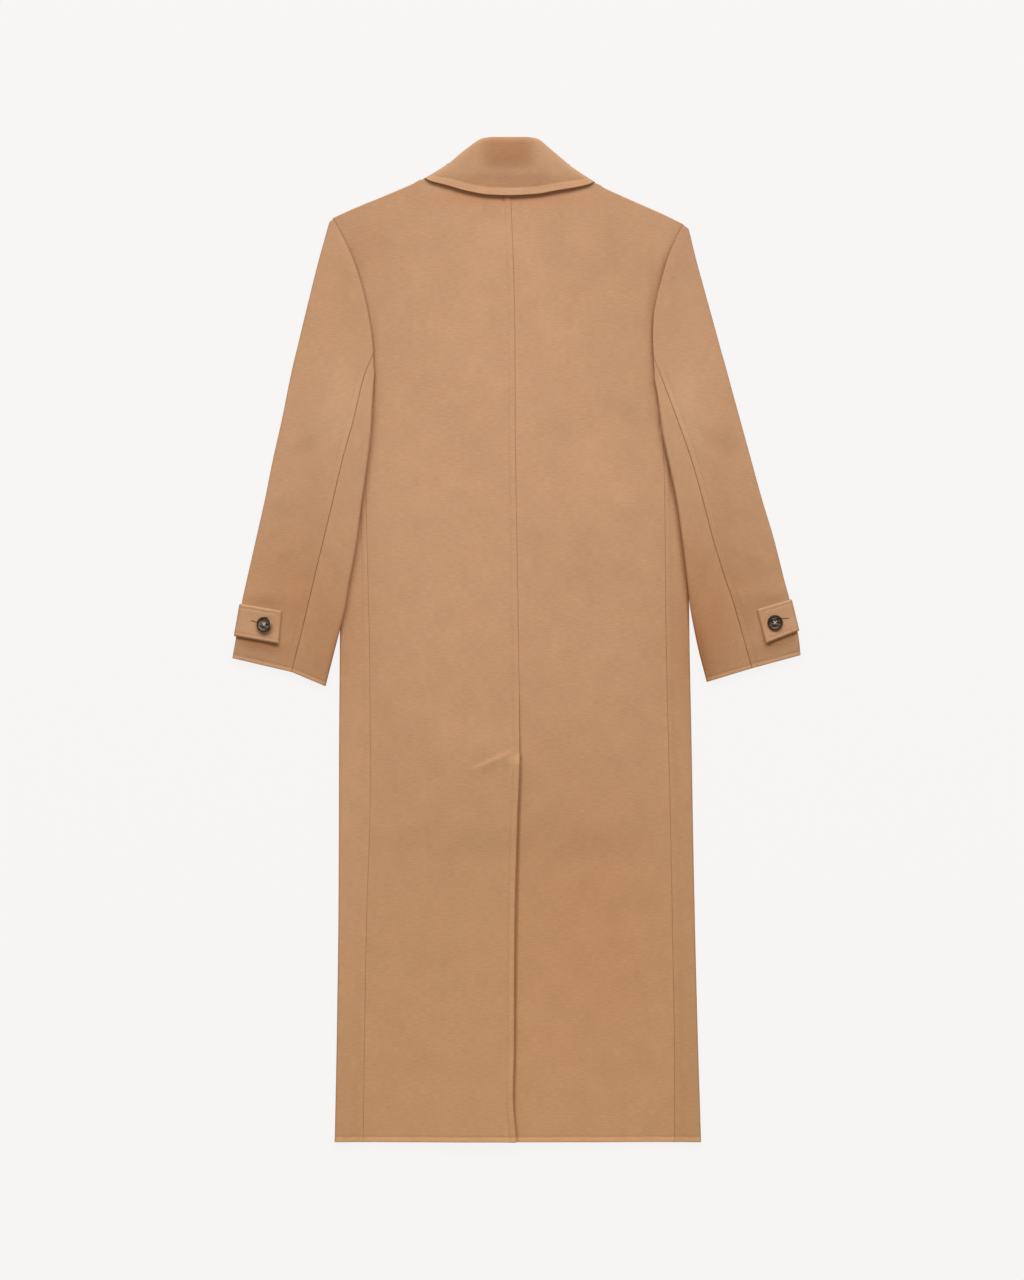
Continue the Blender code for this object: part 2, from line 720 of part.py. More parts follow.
def collar(material):
    left = [collar_row(station, COLLAR_OUT["left"]) for station in COLLARS["left"]]
    right = [collar_row(station, COLLAR_OUT["right"]) for station in COLLARS["right"]]
    centre = collar_row(COLLAR_CENTRE, COLLAR_OUT["left"])
    return wall("collar", left[::-1] + [centre] + right, material)


# Buttons


def turned_disc(radius):
    """A closed disc with a raised rim round a sunk middle."""
    mesh = bmesh.new()
    rings = []
    for turn in BUTTON_PROFILE:
        ring = []
        for k in range(BUTTON_SIDES):
            angle = 2 * math.pi * k / BUTTON_SIDES
            out = Vector((math.cos(angle), math.sin(angle), 0.0)) * turn.radius * radius
            ring.append(mesh.verts.new(out + Vector((0, 0, turn.height * BUTTON_THICK))))
        rings.append(ring)
    for low, high in zip(rings, rings[1:]):
        for k in range(BUTTON_SIDES):
            n = (k + 1) % BUTTON_SIDES
            mesh.faces.new((low[k], low[n], high[n], high[k]))
    mesh.faces.new(rings[0][::-1])
    mesh.faces.new(rings[-1])
    bmesh.ops.recalc_face_normals(mesh, faces=mesh.faces)
    data = bpy.data.meshes.new("disc")
    mesh.to_mesh(data)
    mesh.free()
    return bpy.data.objects.new("disc", data)


def hole_cutter(radius):
    mesh = bmesh.new()
    spread = radius * HOLE_SPREAD + HOLE_RADIUS
    for k in range(HOLES):
        angle = 2 * math.pi * (k + 0.5) / HOLES
        made = bmesh.ops.create_cone(
            mesh,
            cap_ends=True,
            segments=HOLE_SIDES,
            radius1=HOLE_RADIUS,
            radius2=HOLE_RADIUS,
            depth=3 * BUTTON_THICK,
        )
        place = Vector((math.cos(angle), math.sin(angle), 0)) * spread
        bmesh.ops.translate(mesh, verts=made["verts"], vec=place)
    data = bpy.data.meshes.new("holes")
    mesh.to_mesh(data)
    mesh.free()
    cutter = bpy.data.objects.new("holes", data)
    cutter.hide_render = True
    cutter.display_type = "WIRE"
    return cutter


def button_mesh(name, radius):
    """A four-hole button, face up, standing on its own origin."""
    disc = turned_disc(radius)
    cutter = hole_cutter(radius)
    for helper in (disc, cutter):
        bpy.context.scene.collection.objects.link(helper)
    cut = disc.modifiers.new("holes", "BOOLEAN")
    cut.operation = "DIFFERENCE"
    cut.object = cutter
    graph = bpy.context.evaluated_depsgraph_get()
    data = bpy.data.meshes.new_from_object(disc.evaluated_get(graph))
    data.name = name
    for helper in (disc, cutter):
        bpy.data.objects.remove(helper)
    return data


def cuff_button(side, data, material):
    place = CUFF_BUTTON_PLACE[side]
    section = tab_section(side, place.y)
    tab_top = rest_height(section.rest, place) + 2 * section.rest.puff + CLOTH + LAYER
    made = add_object(f"cuff_button_{side}", data, material)
    made.location = place.to_3d() + Vector((0, 0, tab_top + SEAM))
    return made


def front_buttons(data, material):
    """Two columns on the outer face of the fronts, face down."""
    for side, x in FRONT_BUTTON_X.items():
        for number, y in enumerate(FRONT_BUTTON_Y, start=1):
            made = add_object(f"front_button_{side}_{number}", data, material)
            made.location = (x, y, BUTTON_THICK)
            made.rotation_euler = (math.pi, 0.0, 0.0)


def build():
    clear_scene()
    wool = surface("camel_wool", CAMEL, CAMEL_ROUGHNESS)
    horn = surface("dark_horn", HORN, HORN_ROUGHNESS)
    for side in ("left", "right"):
        back(side, wool)
        side_panel(side, wool)
        front(side, wool)
        lapel(side, wool)
        upper_sleeve(side, wool)
        under_sleeve(side, wool)
        cuff_tab(side, wool)
    collar(wool)
    small = button_mesh("cuff_button", CUFF_BUTTON_RADIUS)
    large = button_mesh("front_button", FRONT_BUTTON_RADIUS)
    for side in ("left", "right"):
        cuff_button(side, small, horn)
    front_buttons(large, horn)


build()
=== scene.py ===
"""Looks of a long double-breasted wool coat, laid out flat with its back up.

Metres. X runs across the coat, Y from hem to collar, Z up from the floor. Left and right are the
wearer's, so the left half lies at negative X. Each cloth piece is a closed shell about a fine
grid of mid points, which follows the seams and layers of its solid.
"""

import math
from collections import namedtuple

import bmesh
import bpy
import numpy as np
from mathutils import Matrix, Vector


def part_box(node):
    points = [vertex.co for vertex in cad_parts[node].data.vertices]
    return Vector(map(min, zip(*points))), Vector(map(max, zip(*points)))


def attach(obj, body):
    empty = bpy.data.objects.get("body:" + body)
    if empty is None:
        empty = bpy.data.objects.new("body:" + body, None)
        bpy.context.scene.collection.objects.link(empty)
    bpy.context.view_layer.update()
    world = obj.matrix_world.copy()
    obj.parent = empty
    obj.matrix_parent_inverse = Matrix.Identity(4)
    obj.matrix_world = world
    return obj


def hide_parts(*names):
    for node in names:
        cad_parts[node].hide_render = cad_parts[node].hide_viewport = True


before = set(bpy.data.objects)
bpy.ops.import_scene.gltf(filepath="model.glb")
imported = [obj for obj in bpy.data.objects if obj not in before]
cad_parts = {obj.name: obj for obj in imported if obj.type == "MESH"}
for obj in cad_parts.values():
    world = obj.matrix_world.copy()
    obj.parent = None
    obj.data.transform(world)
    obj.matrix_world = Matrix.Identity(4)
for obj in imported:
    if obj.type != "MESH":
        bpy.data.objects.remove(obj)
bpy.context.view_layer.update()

bl_info = {
    "name": "Double-breasted coat",
    "version": (1, 0, 0),
    "blender": (4, 5, 0),
    "location": "View3D > Sidebar > Coat",
    "description": "Builds the cloth, sewing, buttons and stage of a coat laid out flat",
    "category": "Object",
}

BODY_NAME = "root"
SIDES = ("left", "right")
UP = Vector((0.0, 0.0, 1.0))

# Cloth; sewn edges press into each other, so their gap is below nothing, but a sleeve's seam is
# drawn apart a little
CLOTH = 0.0022
SEAM = -0.0001
SLEEVE_SLIT = 0.0001
LIE = 0.0007
HALF = CLOTH / 2
LAYER = CLOTH + LIE

# Lengthwise places
HEM_Y = -0.652
VENT_FOOT_Y = -0.168
VENT_TOP_Y = -0.146
VENT_TOP_X = 0.0040
UNDERARM_Y = 0.262
UNDERARM_DIP = 0.014
DIP_FROM_Y = 0.170

# Lengthwise seams of the body, a row for each height
Line = namedtuple(
    "Line", "y centre seam_left edge_left front_left seam_right edge_right front_right"
)
BODY = (
    Line(HEM_Y, -0.0005, -0.1992, -0.2362, -0.150, 0.2054, 0.2398, 0.150),
    Line(-0.612, -0.0046, -0.1987, -0.2354, -0.152, 0.2054, 0.2386, 0.152),
    Line(-0.530, -0.0035, -0.1976, -0.2338, -0.156, 0.2053, 0.2360, 0.156),
    Line(-0.370, -0.0030, -0.1950, -0.2315, -0.163, 0.2026, 0.2319, 0.162),
    Line(-0.225, 0.0010, -0.1905, -0.2308, -0.169, 0.1998, 0.2290, 0.168),
    Line(VENT_TOP_Y, VENT_TOP_X, -0.1900, -0.2306, -0.172, 0.1977, 0.2277, 0.171),
    Line(0.000, 0.0025, -0.1912, -0.2295, -0.178, 0.1943, 0.2248, 0.176),
    Line(DIP_FROM_Y, -0.0002, -0.1952, -0.2280, -0.188, 0.1928, 0.2228, 0.184),
    Line(UNDERARM_Y, -0.0015, -0.1970, -0.2262, -0.197, 0.1910, 0.2210, 0.191),
    Line(0.450, -0.0030, -0.1970, -0.2262, -0.197, 0.1910, 0.2210, 0.191),
    Line(0.601, -0.0085, -0.1970, -0.2262, -0.197, 0.1910, 0.2210, 0.191),
)
SKIRT_STEPS = 8
WAIST_STEPS = 8

# Armhole seams from the underarm to the shoulder tip
Armhole = namedtuple("Armhole", "left_x left_y right_x right_y")
ARMHOLE = (
    Armhole(-0.1970, UNDERARM_Y, 0.1910, UNDERARM_Y),
    Armhole(-0.1865, 0.3130, 0.1842, 0.3130),
    Armhole(-0.1860, 0.3740, 0.1779, 0.3700),
    Armhole(-0.1915, 0.4180, 0.1777, 0.4180),
    Armhole(-0.2022, 0.4640, 0.1866, 0.4620),
    Armhole(-0.2170, 0.5050, 0.1990, 0.5030),
    Armhole(-0.2385, 0.5480, 0.2165, 0.5400),
)
ARMHOLE_SPAN = 2
SEAM_TOP = 4
TIP_SHARE = 0.97
# How far a sleeve's outer edge starts below the shoulder tip
TIP_CORNER = 0.0055
# How far the back reaches under the sleeve, and where that starts to end towards the shoulder
TUCK = 0.006
TUCK_FROM_Y = 0.480

# Back neck and shoulder line, as a rise above the straight line from centre to shoulder tip
Rise = namedtuple("Rise", "share left right")
BACK_TOP = (
    Rise(0.0, 0.0, 0.0),
    Rise(0.093, 0.0053, 0.0057),
    Rise(0.224, 0.0129, 0.0135),
    Rise(0.357, 0.0155, 0.0160),
    Rise(0.492, 0.0232, 0.0222),
    Rise(0.55, 0.0203, 0.0188),
    Rise(0.62, 0.0170, 0.0159),
    Rise(0.75, 0.0114, 0.0108),
    Rise(0.88, 0.0060, 0.0059),
    Rise(1.0, 0.0, 0.0),
)
BACK_NECK_Y = 0.6012
FRONT_TOP = (
    Rise(0.0, 0.0, 0.0),
    Rise(0.05, 0.0012, 0.0012),
    Rise(0.097, 0.0125, 0.0120),
    Rise(0.188, 0.0245, 0.0220),
    Rise(0.262, 0.0255, 0.0228),
    Rise(0.336, 0.0240, 0.0220),
    Rise(0.44, 0.0268, 0.0240),
    Rise(0.55, 0.0226, 0.0200),
    Rise(0.66, 0.0173, 0.0152),
    Rise(0.77, 0.0120, 0.0103),
    Rise(0.88, 0.0068, 0.0056),
    Rise(1.0, 0.0, 0.0),
)
CROWN_FROM_Y = 0.44

# Fronts: the right laps over the left, and both turn back along a straight roll line
BREAK_Y = 0.165
GORGE_Y = 0.572
PEAK_Y = 0.515
Front = namedtuple("Front", "edge_x neck_x peak_x leaf_from leaf_to")
FRONTS = {
    "left": Front(0.080, -0.0625, -0.160, -0.120, -0.058),
    "right": Front(-0.095, 0.0475, 0.150, 0.040, 0.105),
}
LEAF_Y = 0.545
LAPEL_FOOT_Y = 0.187
LAPEL_ROWS = 14
LAPEL_COLUMNS = 6

# Vent underlap of the right back
UNDERLAP_X = -0.054
VENT_STEPS = 60
UNDERLAP_SLOPE = (VENT_TOP_Y - VENT_FOOT_Y) / (VENT_TOP_X - UNDERLAP_X)

# How far a layer stays up past an edge beneath it, and how far it takes to come down
MARGIN = 0.020
FRONT_REACH = 0.055
BACK_REACH = 0.110
NECK_CENTRE_X = -0.0085
NECK_HALF_WIDTH = 0.125
NECK_FROM_Y = 0.578
NECK_REACH = 0.060
LAPEL_EASE = 0.0006

# Folds at the sides
SIDE_PUFF = 0.0026
FOLD_STEPS = 4
LEG_STEPS = 3

# Sleeves: outer edge at the cap, then a row for each section down to the cuff
Cap = namedtuple("Cap", "y left right")
CAP_EDGE = (
    Cap(0.370, -0.2872, 0.2674),
    Cap(0.442, -0.2698, 0.2477),
    Cap(0.494, -0.2568, 0.2334),
    Cap(0.530, -0.2465, 0.2243),
    Cap(0.552, -0.2395, 0.2165),
)
Sleeve = namedtuple("Sleeve", "outer_x outer_y seam_x seam_y inner_x inner_y")
SLEEVES = {
    "left": (
        Sleeve(-0.2887, 0.364, -0.1866, 0.3700, -0.1852, 0.347),
        Sleeve(-0.2945, 0.338, -0.1985, 0.3400, -0.1860, 0.322),
        Sleeve(-0.3049, 0.286, -0.2113, 0.2860, -0.1890, 0.270),
        Sleeve(-0.3166, 0.234, -0.2256, 0.2340, -0.1943, 0.223),
        Sleeve(-0.3270, 0.182, -0.2378, 0.1820, -0.2010, 0.176),
        Sleeve(-0.3387, 0.130, -0.2502, 0.1300, -0.2080, 0.122),
        Sleeve(-0.3504, 0.078, -0.2628, 0.0780, -0.2175, 0.070),
        Sleeve(-0.3560, 0.052, -0.2690, 0.0510, -0.2215, 0.044),
        Sleeve(-0.3648, 0.000, -0.2815, -0.0005, -0.2360, -0.014),
        Sleeve(-0.3692, -0.0235, -0.2922, -0.0415, -0.2480, -0.060),
    ),
    "right": (
        Sleeve(0.2692, 0.364, 0.1786, 0.3660, 0.1798, 0.338),
        Sleeve(0.2763, 0.338, 0.1920, 0.3300, 0.1830, 0.316),
        Sleeve(0.2906, 0.286, 0.2085, 0.2860, 0.1893, 0.270),
        Sleeve(0.3049, 0.234, 0.2267, 0.2340, 0.1990, 0.223),
        Sleeve(0.3192, 0.182, 0.2415, 0.1820, 0.2085, 0.176),
        Sleeve(0.3348, 0.130, 0.2550, 0.1300, 0.2160, 0.122),
        Sleeve(0.3478, 0.078, 0.2712, 0.0780, 0.2222, 0.070),
        Sleeve(0.3545, 0.053, 0.2798, 0.0530, 0.2243, 0.048),
        Sleeve(0.3668, 0.001, 0.2955, -0.0010, 0.2345, -0.006),
        Sleeve(0.3690, -0.0195, 0.3056, -0.0368, 0.2470, -0.0545),
    ),
}
# Height of each of those sections over the floor and over the body, and half its hollow
Rest = namedtuple("Rest", "outer inner puff")
CAP_REST = Rest(0.0, 0.0081, 0.0027)
ARM_REST = Rest(0.0, 0.0081, 0.0026)
RESTS = (
    *(CAP_REST,) * 3,
    *(ARM_REST,) * 3,
    Rest(0.0012, 0.0081, 0.0026),
    Rest(LAYER, 0.0081, 0.0026),
    Rest(LAYER, 0.0066, 0.0025),
    Rest(0.0006, 0.0012, 0.0023),
)
REST_FROM_X = 0.290
REST_FULL_X = 0.243
# Where the sleeve starts to climb from the armhole and where it lies on the body, how far from
# the armhole it comes down to the back, and how far it stands above the back there
CLIMB_FROM_Y = 0.43
CLIMB_TO_Y = 0.25
ARMHOLE_FADE = 0.030
ARMHOLE_STAND = 0.0034
TIP_STAND = 0.0004
UPPER_STEPS = 10
UNDER_STEPS = 6

# Cuff tabs wrap the outer edge between these two sections: the height at which the top and the
# bottom of each leave that edge, and their free ends
TAB_SECTION = 7
Tab = namedtuple("Tab", "outer_y free_x free_y")
TABS = {
    "left": (Tab(0.0468, -0.3045, 0.0377), Tab(0.0046, -0.3088, -0.0052)),
    "right": (Tab(0.0523, 0.3119, 0.0397), Tab(0.0111, 0.3237, -0.0046)),
}
TAB_ROWS = 4
TAB_UNDER = 0.026
TAB_STEPS = 4

# Collar: neck seam, roll and outer edge of each section from the centre back to a front end,
# the roll's radius, and how far the section has turned from the back to the front
Collar = namedtuple("Collar", "neck_x neck_y roll_x roll_y edge_x edge_y radius turn")
COLLAR_CENTRE = Collar(-0.0085, 0.6018, -0.0090, 0.6526, -0.0085, 0.5759, 0.0056, 0)
COLLARS = {
    "left": (
        Collar(-0.0300, 0.6021, -0.0285, 0.6526, -0.0345, 0.5767, 0.0056, 0),
        Collar(-0.0580, 0.6030, -0.0425, 0.6512, -0.0610, 0.5808, 0.0050, 0),
        Collar(-0.0740, 0.6020, -0.0660, 0.6364, -0.0900, 0.5888, 0.0034, 0),
        Collar(-0.0870, 0.6008, -0.0860, 0.6200, -0.1130, 0.5950, 0.0018, 0),
        Collar(-0.0905, 0.5990, -0.0885, 0.6160, -0.1168, 0.5945, 0.0015, 45),
        Collar(-0.0913, 0.5975, -0.0890, 0.6120, -0.1190, 0.5935, 0.0014, 90),
        Collar(-0.0900, 0.5955, -0.0885, 0.6085, -0.1170, 0.5900, 0.0014, 135),
        Collar(-0.0875, 0.5940, -0.0865, 0.6060, -0.1150, 0.5860, 0.0014, 180),
        Collar(-0.0790, 0.5850, -0.0740, 0.5930, -0.1120, 0.5660, 0.0014, 180),
        Collar(-0.0705, 0.5745, -0.0620, 0.5775, -0.1060, 0.5495, 0.0014, 180),
    ),
    "right": (
        Collar(0.0140, 0.6016, 0.0110, 0.6526, 0.0250, 0.5776, 0.0056, 0),
        Collar(0.0380, 0.6014, 0.0245, 0.6512, 0.0527, 0.5824, 0.0050, 0),
        Collar(0.0540, 0.6002, 0.0450, 0.6360, 0.0740, 0.5858, 0.0034, 0),
        Collar(0.0670, 0.5990, 0.0640, 0.6200, 0.0950, 0.5905, 0.0018, 0),
        Collar(0.0700, 0.5975, 0.0665, 0.6150, 0.0985, 0.5900, 0.0015, 45),
        Collar(0.0708, 0.5960, 0.0672, 0.6105, 0.1003, 0.5890, 0.0014, 90),
        Collar(0.0695, 0.5940, 0.0667, 0.6070, 0.0985, 0.5855, 0.0014, 135),
        Collar(0.0670, 0.5920, 0.0645, 0.6040, 0.0965, 0.5815, 0.0014, 180),
        Collar(0.0590, 0.5840, 0.0540, 0.5915, 0.0940, 0.5630, 0.0014, 180),
        Collar(0.0510, 0.5755, 0.0440, 0.5785, 0.0880, 0.5530, 0.0014, 180),
    ),
}
COLLAR_OUT = {"left": Vector((-0.58, 0.815)), "right": Vector((0.56, 0.83))}
NECK_MID_Z = 2 * LAYER - LIE / 2
STAND_OUT = LAYER / 2
COLLAR_LIFT = 0.0006
COLLAR_TRIM = 0.0010
STAND_STEPS = 3
FALL_STEPS = 5

# Buttons
BUTTON_THICK = 0.0038
BUTTON_GAP = 0.0003
BUTTON_ROOM = BUTTON_THICK + BUTTON_GAP + LIE / 2
FIELD_X = 0.098
FIELD_TOP_Y = 0.145
FIELD_FOOT_Y = -0.182

# Creases: ridges, or troughs where the height is below nothing. A crease is as wide as
# width, but on its right, seen from its first end, as wide as fall where that is given. The
# taper says how fast its ends fade
Crease = namedtuple("Crease", "x0 y0 x1 y1 height width fall", defaults=(None,))
CREASE_TAPER = 0.7
BACK_CREASES = (
    Crease(-0.0610, -0.1700, 0.0010, -0.1420, 0.0017, 0.0024, 0.0090),
    Crease(0.0950, 0.1950, 0.1600, 0.1620, 0.0012, 0.0120),
    Crease(0.1090, 0.3510, 0.1650, 0.2750, 0.0010, 0.0140),
    Crease(0.1180, 0.2900, 0.1680, 0.2350, 0.0007, 0.0110),
    Crease(-0.1000, 0.2080, -0.0480, 0.1820, 0.0009, 0.0140),
    Crease(-0.1620, 0.2900, -0.1100, 0.3600, 0.0008, 0.0150),
    Crease(-0.1100, -0.2300, -0.1250, -0.5600, 0.0010, 0.0300),
    Crease(0.1000, -0.2600, 0.1180, -0.5800, 0.0009, 0.0320),
    Crease(0.0500, 0.5200, 0.1300, 0.4900, 0.0009, 0.0200),
)
SLEEVE_CREASES = {
    "left": (
        Crease(-0.3020, 0.2480, -0.2500, 0.2760, 0.0011, 0.0120),
        Crease(-0.3150, 0.1720, -0.2700, 0.2060, 0.0012, 0.0150),
        Crease(-0.2450, 0.1350, -0.2250, 0.0850, 0.0010, 0.0090),
        Crease(-0.3260, 0.1080, -0.2840, 0.1250, 0.0007, 0.0110),
    ),
    "right": (
        Crease(0.2850, 0.2520, 0.2360, 0.2860, 0.0011, 0.0130),
        Crease(0.3050, 0.1650, 0.2620, 0.2060, 0.0012, 0.0150),
        Crease(0.2450, 0.1300, 0.2350, 0.0800, 0.0010, 0.0090),
        Crease(0.3320, 0.0960, 0.2960, 0.1180, 0.0008, 0.0110),
    ),
}

# Painted light and shade: places where the cloth's colour is made lighter, darker or warmer to
# stand for its shading, its highlights and the shadows on it, as shares of its colour: the pieces
# that each is on, its reach along and aside of its turn, and how flat its middle is
PaintedPatch = namedtuple("PaintedPatch", "on x y along aside red green blue turn flat", defaults=(0.0, 1))
BODY_TOP = ("back", "side")
PAINTED_PATCHES = (
    # Collar: painted shade on its middle, lighter sides, and painted shadow below its edge on it and
    # on the back
    PaintedPatch("collar", -0.011, 0.637, 0.034, 0.024, -0.16, -0.25, -0.33, 0.0, 3),
    PaintedPatch("collar", -0.066, 0.618, 0.028, 0.018, 0.04, 0.05, 0.06, 0.5, 2),
    PaintedPatch("collar", 0.049, 0.618, 0.028, 0.018, 0.05, 0.07, 0.09, -0.5, 2),
    PaintedPatch("collar", -0.007, 0.596, 0.080, 0.009, -0.09, -0.14, -0.18, 0.0, 2),
    PaintedPatch("back", -0.009, 0.574, 0.100, 0.010, 0.0, -0.12, -0.18),
    PaintedPatch("back", -0.012, 0.300, 0.060, 0.160, 0.03, 0.03, 0.04),
    PaintedPatch("back", -0.010, 0.200, 0.200, 0.300, 0.045, 0.045, 0.055, 0.0, 2),
    PaintedPatch("back", 0.000, -0.600, 0.300, 0.220, 0.080, 0.065, 0.055),
    PaintedPatch("back_left", -0.100, 0.050, 0.100, 0.350, 0.015, 0.020, 0.020),
    # Painted highlight along the vent's edge; painted shade along the left armhole and near the
    # shoulder
    PaintedPatch("back_left", -0.006, -0.400, 0.250, 0.005, 0.03, 0.04, 0.04, 1.552, 2),
    PaintedPatch("back_left", -0.184, 0.345, 0.070, 0.005, -0.10, -0.14, -0.18, 1.57),
    PaintedPatch("back_left", -0.200, 0.520, 0.045, 0.045, -0.06, -0.09, -0.11),
    PaintedPatch("back_right", 0.100, -0.360, 0.120, 0.160, 0.0, -0.045, -0.05),
    PaintedPatch("back_right", 0.135, 0.500, 0.040, 0.050, -0.04, -0.05, -0.06),
    PaintedPatch("back_right", 0.150, 0.300, 0.045, 0.090, -0.03, -0.03, -0.04),
    # Painted shadow beside the vent's edge, and along the right armhole
    PaintedPatch("back_right", 0.0, -0.390, 0.255, 0.0023, -0.16, -0.24, -0.32, 1.552, 2),
    PaintedPatch("back_right", 0.176, 0.385, 0.080, 0.005, -0.14, -0.20, -0.25, 1.57),
    PaintedPatch("back_right", 0.1905, 0.480, 0.045, 0.005, -0.12, -0.18, -0.23, 1.24),
    PaintedPatch("side_left", -0.210, -0.200, 0.200, 0.500, 0.045, 0.05, 0.06),
    PaintedPatch("side_right", 0.210, -0.200, 0.200, 0.500, -0.025, -0.03, -0.04),
    # Painted shadows on the body beside the sleeves' inner edges
    PaintedPatch(BODY_TOP, -0.204, 0.157, 0.120, 0.007, -0.14, -0.20, -0.26, 1.428),
    PaintedPatch(BODY_TOP, 0.198, 0.223, 0.055, 0.004, -0.28, -0.38, -0.46, -1.369),
    PaintedPatch(BODY_TOP, 0.216, 0.112, 0.075, 0.004, -0.28, -0.38, -0.46, -1.448),
    PaintedPatch("upper_sleeve_left", -0.240, 0.470, 0.060, 0.100, -0.015, -0.03, -0.05),
    PaintedPatch("upper_sleeve_left", -0.310, 0.060, 0.060, 0.090, -0.085, -0.13, -0.18),
    # Painted shadows round the cuff tabs, below and above them
    PaintedPatch("upper_sleeve_left", -0.3375, -0.0062, 0.030, 0.007, -0.18, -0.26, -0.32, -0.174),
    PaintedPatch("upper_sleeve_left", -0.228, 0.298, 0.030, 0.055, 0.06, 0.09, 0.12),
    PaintedPatch("upper_sleeve_left", -0.330, 0.0500, 0.030, 0.006, -0.07, -0.12, -0.15, -0.175),
    PaintedPatch("upper_sleeve_right", 0.216, 0.298, 0.030, 0.055, 0.06, 0.10, 0.13),
    PaintedPatch("upper_sleeve_right", 0.331, 0.0515, 0.026, 0.006, -0.06, -0.10, -0.13, 0.286),
    PaintedPatch("upper_sleeve_right", 0.230, 0.460, 0.060, 0.100, -0.035, -0.035, -0.02),
    PaintedPatch("upper_sleeve_right", 0.205, 0.510, 0.030, 0.030, -0.05, -0.06, -0.06),
    PaintedPatch("upper_sleeve_right", 0.290, 0.220, 0.060, 0.120, -0.025, -0.035, -0.05),
    PaintedPatch("upper_sleeve_right", 0.320, 0.060, 0.060, 0.090, -0.10, -0.12, -0.14),
    PaintedPatch("upper_sleeve_right", 0.3463, -0.0024, 0.026, 0.007, -0.16, -0.23, -0.29, 0.367),
    # Painted shade along the sleeves' inner edges near the cuffs
    PaintedPatch("under_sleeve_left", -0.236, -0.012, 0.060, 0.005, -0.08, -0.12, -0.15, 1.321),
    PaintedPatch("under_sleeve_right", 0.228, 0.115, 0.030, 0.060, -0.05, -0.08, -0.10),
    PaintedPatch("under_sleeve_right", 0.235, -0.006, 0.070, 0.011, -0.17, -0.24, -0.30, -1.353),
    PaintedPatch("", -0.245, 0.010, 0.050, 0.110, -0.09, -0.15, -0.21),
    PaintedPatch("", 0.252, 0.010, 0.050, 0.110, -0.13, -0.22, -0.29),
    PaintedPatch("", 0.000, -0.640, 0.700, 0.520, 0.00, -0.02, -0.14),
)

# Fine grid: points between two of a section's, and the closer steps along every rim
BETWEEN = 12
EDGE_REACH = 0.012
EDGE_ROOM = 2.4
EDGE_CELLS = 16
EDGE_POWER = 1.7
EDGE_STATIONS = EDGE_REACH * np.linspace(0.0, 1.0, EDGE_CELLS + 1) ** EDGE_POWER
BEND_ANGLE = 0.30
# Closer cells about a place on one axis: the crease beside the vent's top, and the vent's edge
Focus = namedtuple("Focus", "axis place reach share")
CREASE_ROWS = Focus(1, -0.156, 0.024, 2.5)
VENT_COLUMNS = Focus(0, 0.001, 0.010, 4.0)
TINY = 1e-9
STEP_SOFT = 0.0016
LINE_SOFT = 0.0012
SEWN_SOFT = 0.0018
STITCH_COLUMN = 2


def metres(name, description, default):
    return bpy.props.FloatProperty(
        name=name, description=description, default=default, unit="LENGTH"
    )


def amount(name, description, default, **kind):
    return bpy.props.FloatProperty(name=name, description=description, default=default, **kind)


def colour(name, description, default):
    return bpy.props.FloatVectorProperty(
        name=name,
        description=description,
        default=default,
        size=3,
        subtype="COLOR",
        min=0.0,
        max=1.0,
    )


class CoatSizes(bpy.types.PropertyGroup):
    """Sizes of the cloth's edges and sewing."""

    cell: metres("Cell", "Step of the cloth's fine grid", 0.0045)
    centre_round: metres("Centre round", "Radius of the centre seam", 0.0010)
    side_round: metres("Side round", "Radius of a side seam", 0.0007)
    sleeve_round: metres("Sleeve round", "Radius of a sleeve seam", 0.0009)
    crisp_round: metres("Crisp round", "Radius of a pressed edge", 0.0006)
    armhole_dip: metres("Armhole dip", "Dip of the back at the armhole", 0.0014)
    armhole_groove: metres("Armhole groove", "Groove along the armhole seam", 0.0010)
    armhole_round: metres("Armhole round", "Radius of a sleeve's edge at the armhole", 0.0016)
    centre_lap: metres("Centre lap", "Lap at the centre back", 0.009)
    side_lap: metres("Side lap", "Lap of a side on the back", 0.0085)
    sleeve_lap: metres("Sleeve lap", "Lap at a sleeve's back seam", 0.0065)
    lap_height: metres("Lap height", "How far a lap stands up", 0.0005)
    sewn_depth: metres("Sewn depth", "Depth of a line of sewing", 0.0010)
    vent_lift: metres("Vent lift", "How far the vent's edge stands up", 0.0030)
    vent_bed: metres("Vent bed", "Trough beneath the vent's edge", 0.0012)
    hem_width: metres("Hem width", "Turned edge of hem", 0.0065)
    hem_flare: metres("Hem flare", "Rise of the hem's edge", 0.0020)
    cuff_flare: metres("Cuff flare", "Rise of a cuff's edge", 0.0008)
    cuff_width: metres("Cuff width", "Turned edge of a cuff", 0.0050)
    collar_edge: metres("Collar edge", "Turned edge of the collar", 0.010)
    collar_flare: metres("Collar flare", "Rise of the collar's edge", 0.0027)
    tab_edge: metres("Tab edge", "Turned edge of a cuff tab", 0.0050)
    tab_puff: metres("Tab puff", "Extra thickness of a tab", 0.0009)
    tab_stand: metres("Tab stand", "How far a tab's lower edge stands up", 0.0012)
    tab_lift: metres("Tab lift", "How far a tab's end stands up", 0.0014)
    groove: metres("Groove", "Depth beside a turned edge", 0.0004)
    sleeve_swell: metres("Sleeve swell", "Swell of a sleeve's top", 0.0025)
    stitch_pitch: metres("Stitch pitch", "From stitch to stitch", 0.0048)
    stitch_length: metres("Stitch length", "Length of a stitch", 0.0022)
    thread: metres("Thread", "Thickness of sewing thread", 0.0004)
    hole_width: metres("Buttonhole", "Width of a buttonhole", 0.0018)
    twist: metres("Twist", "Thickness of button thread", 0.0008)


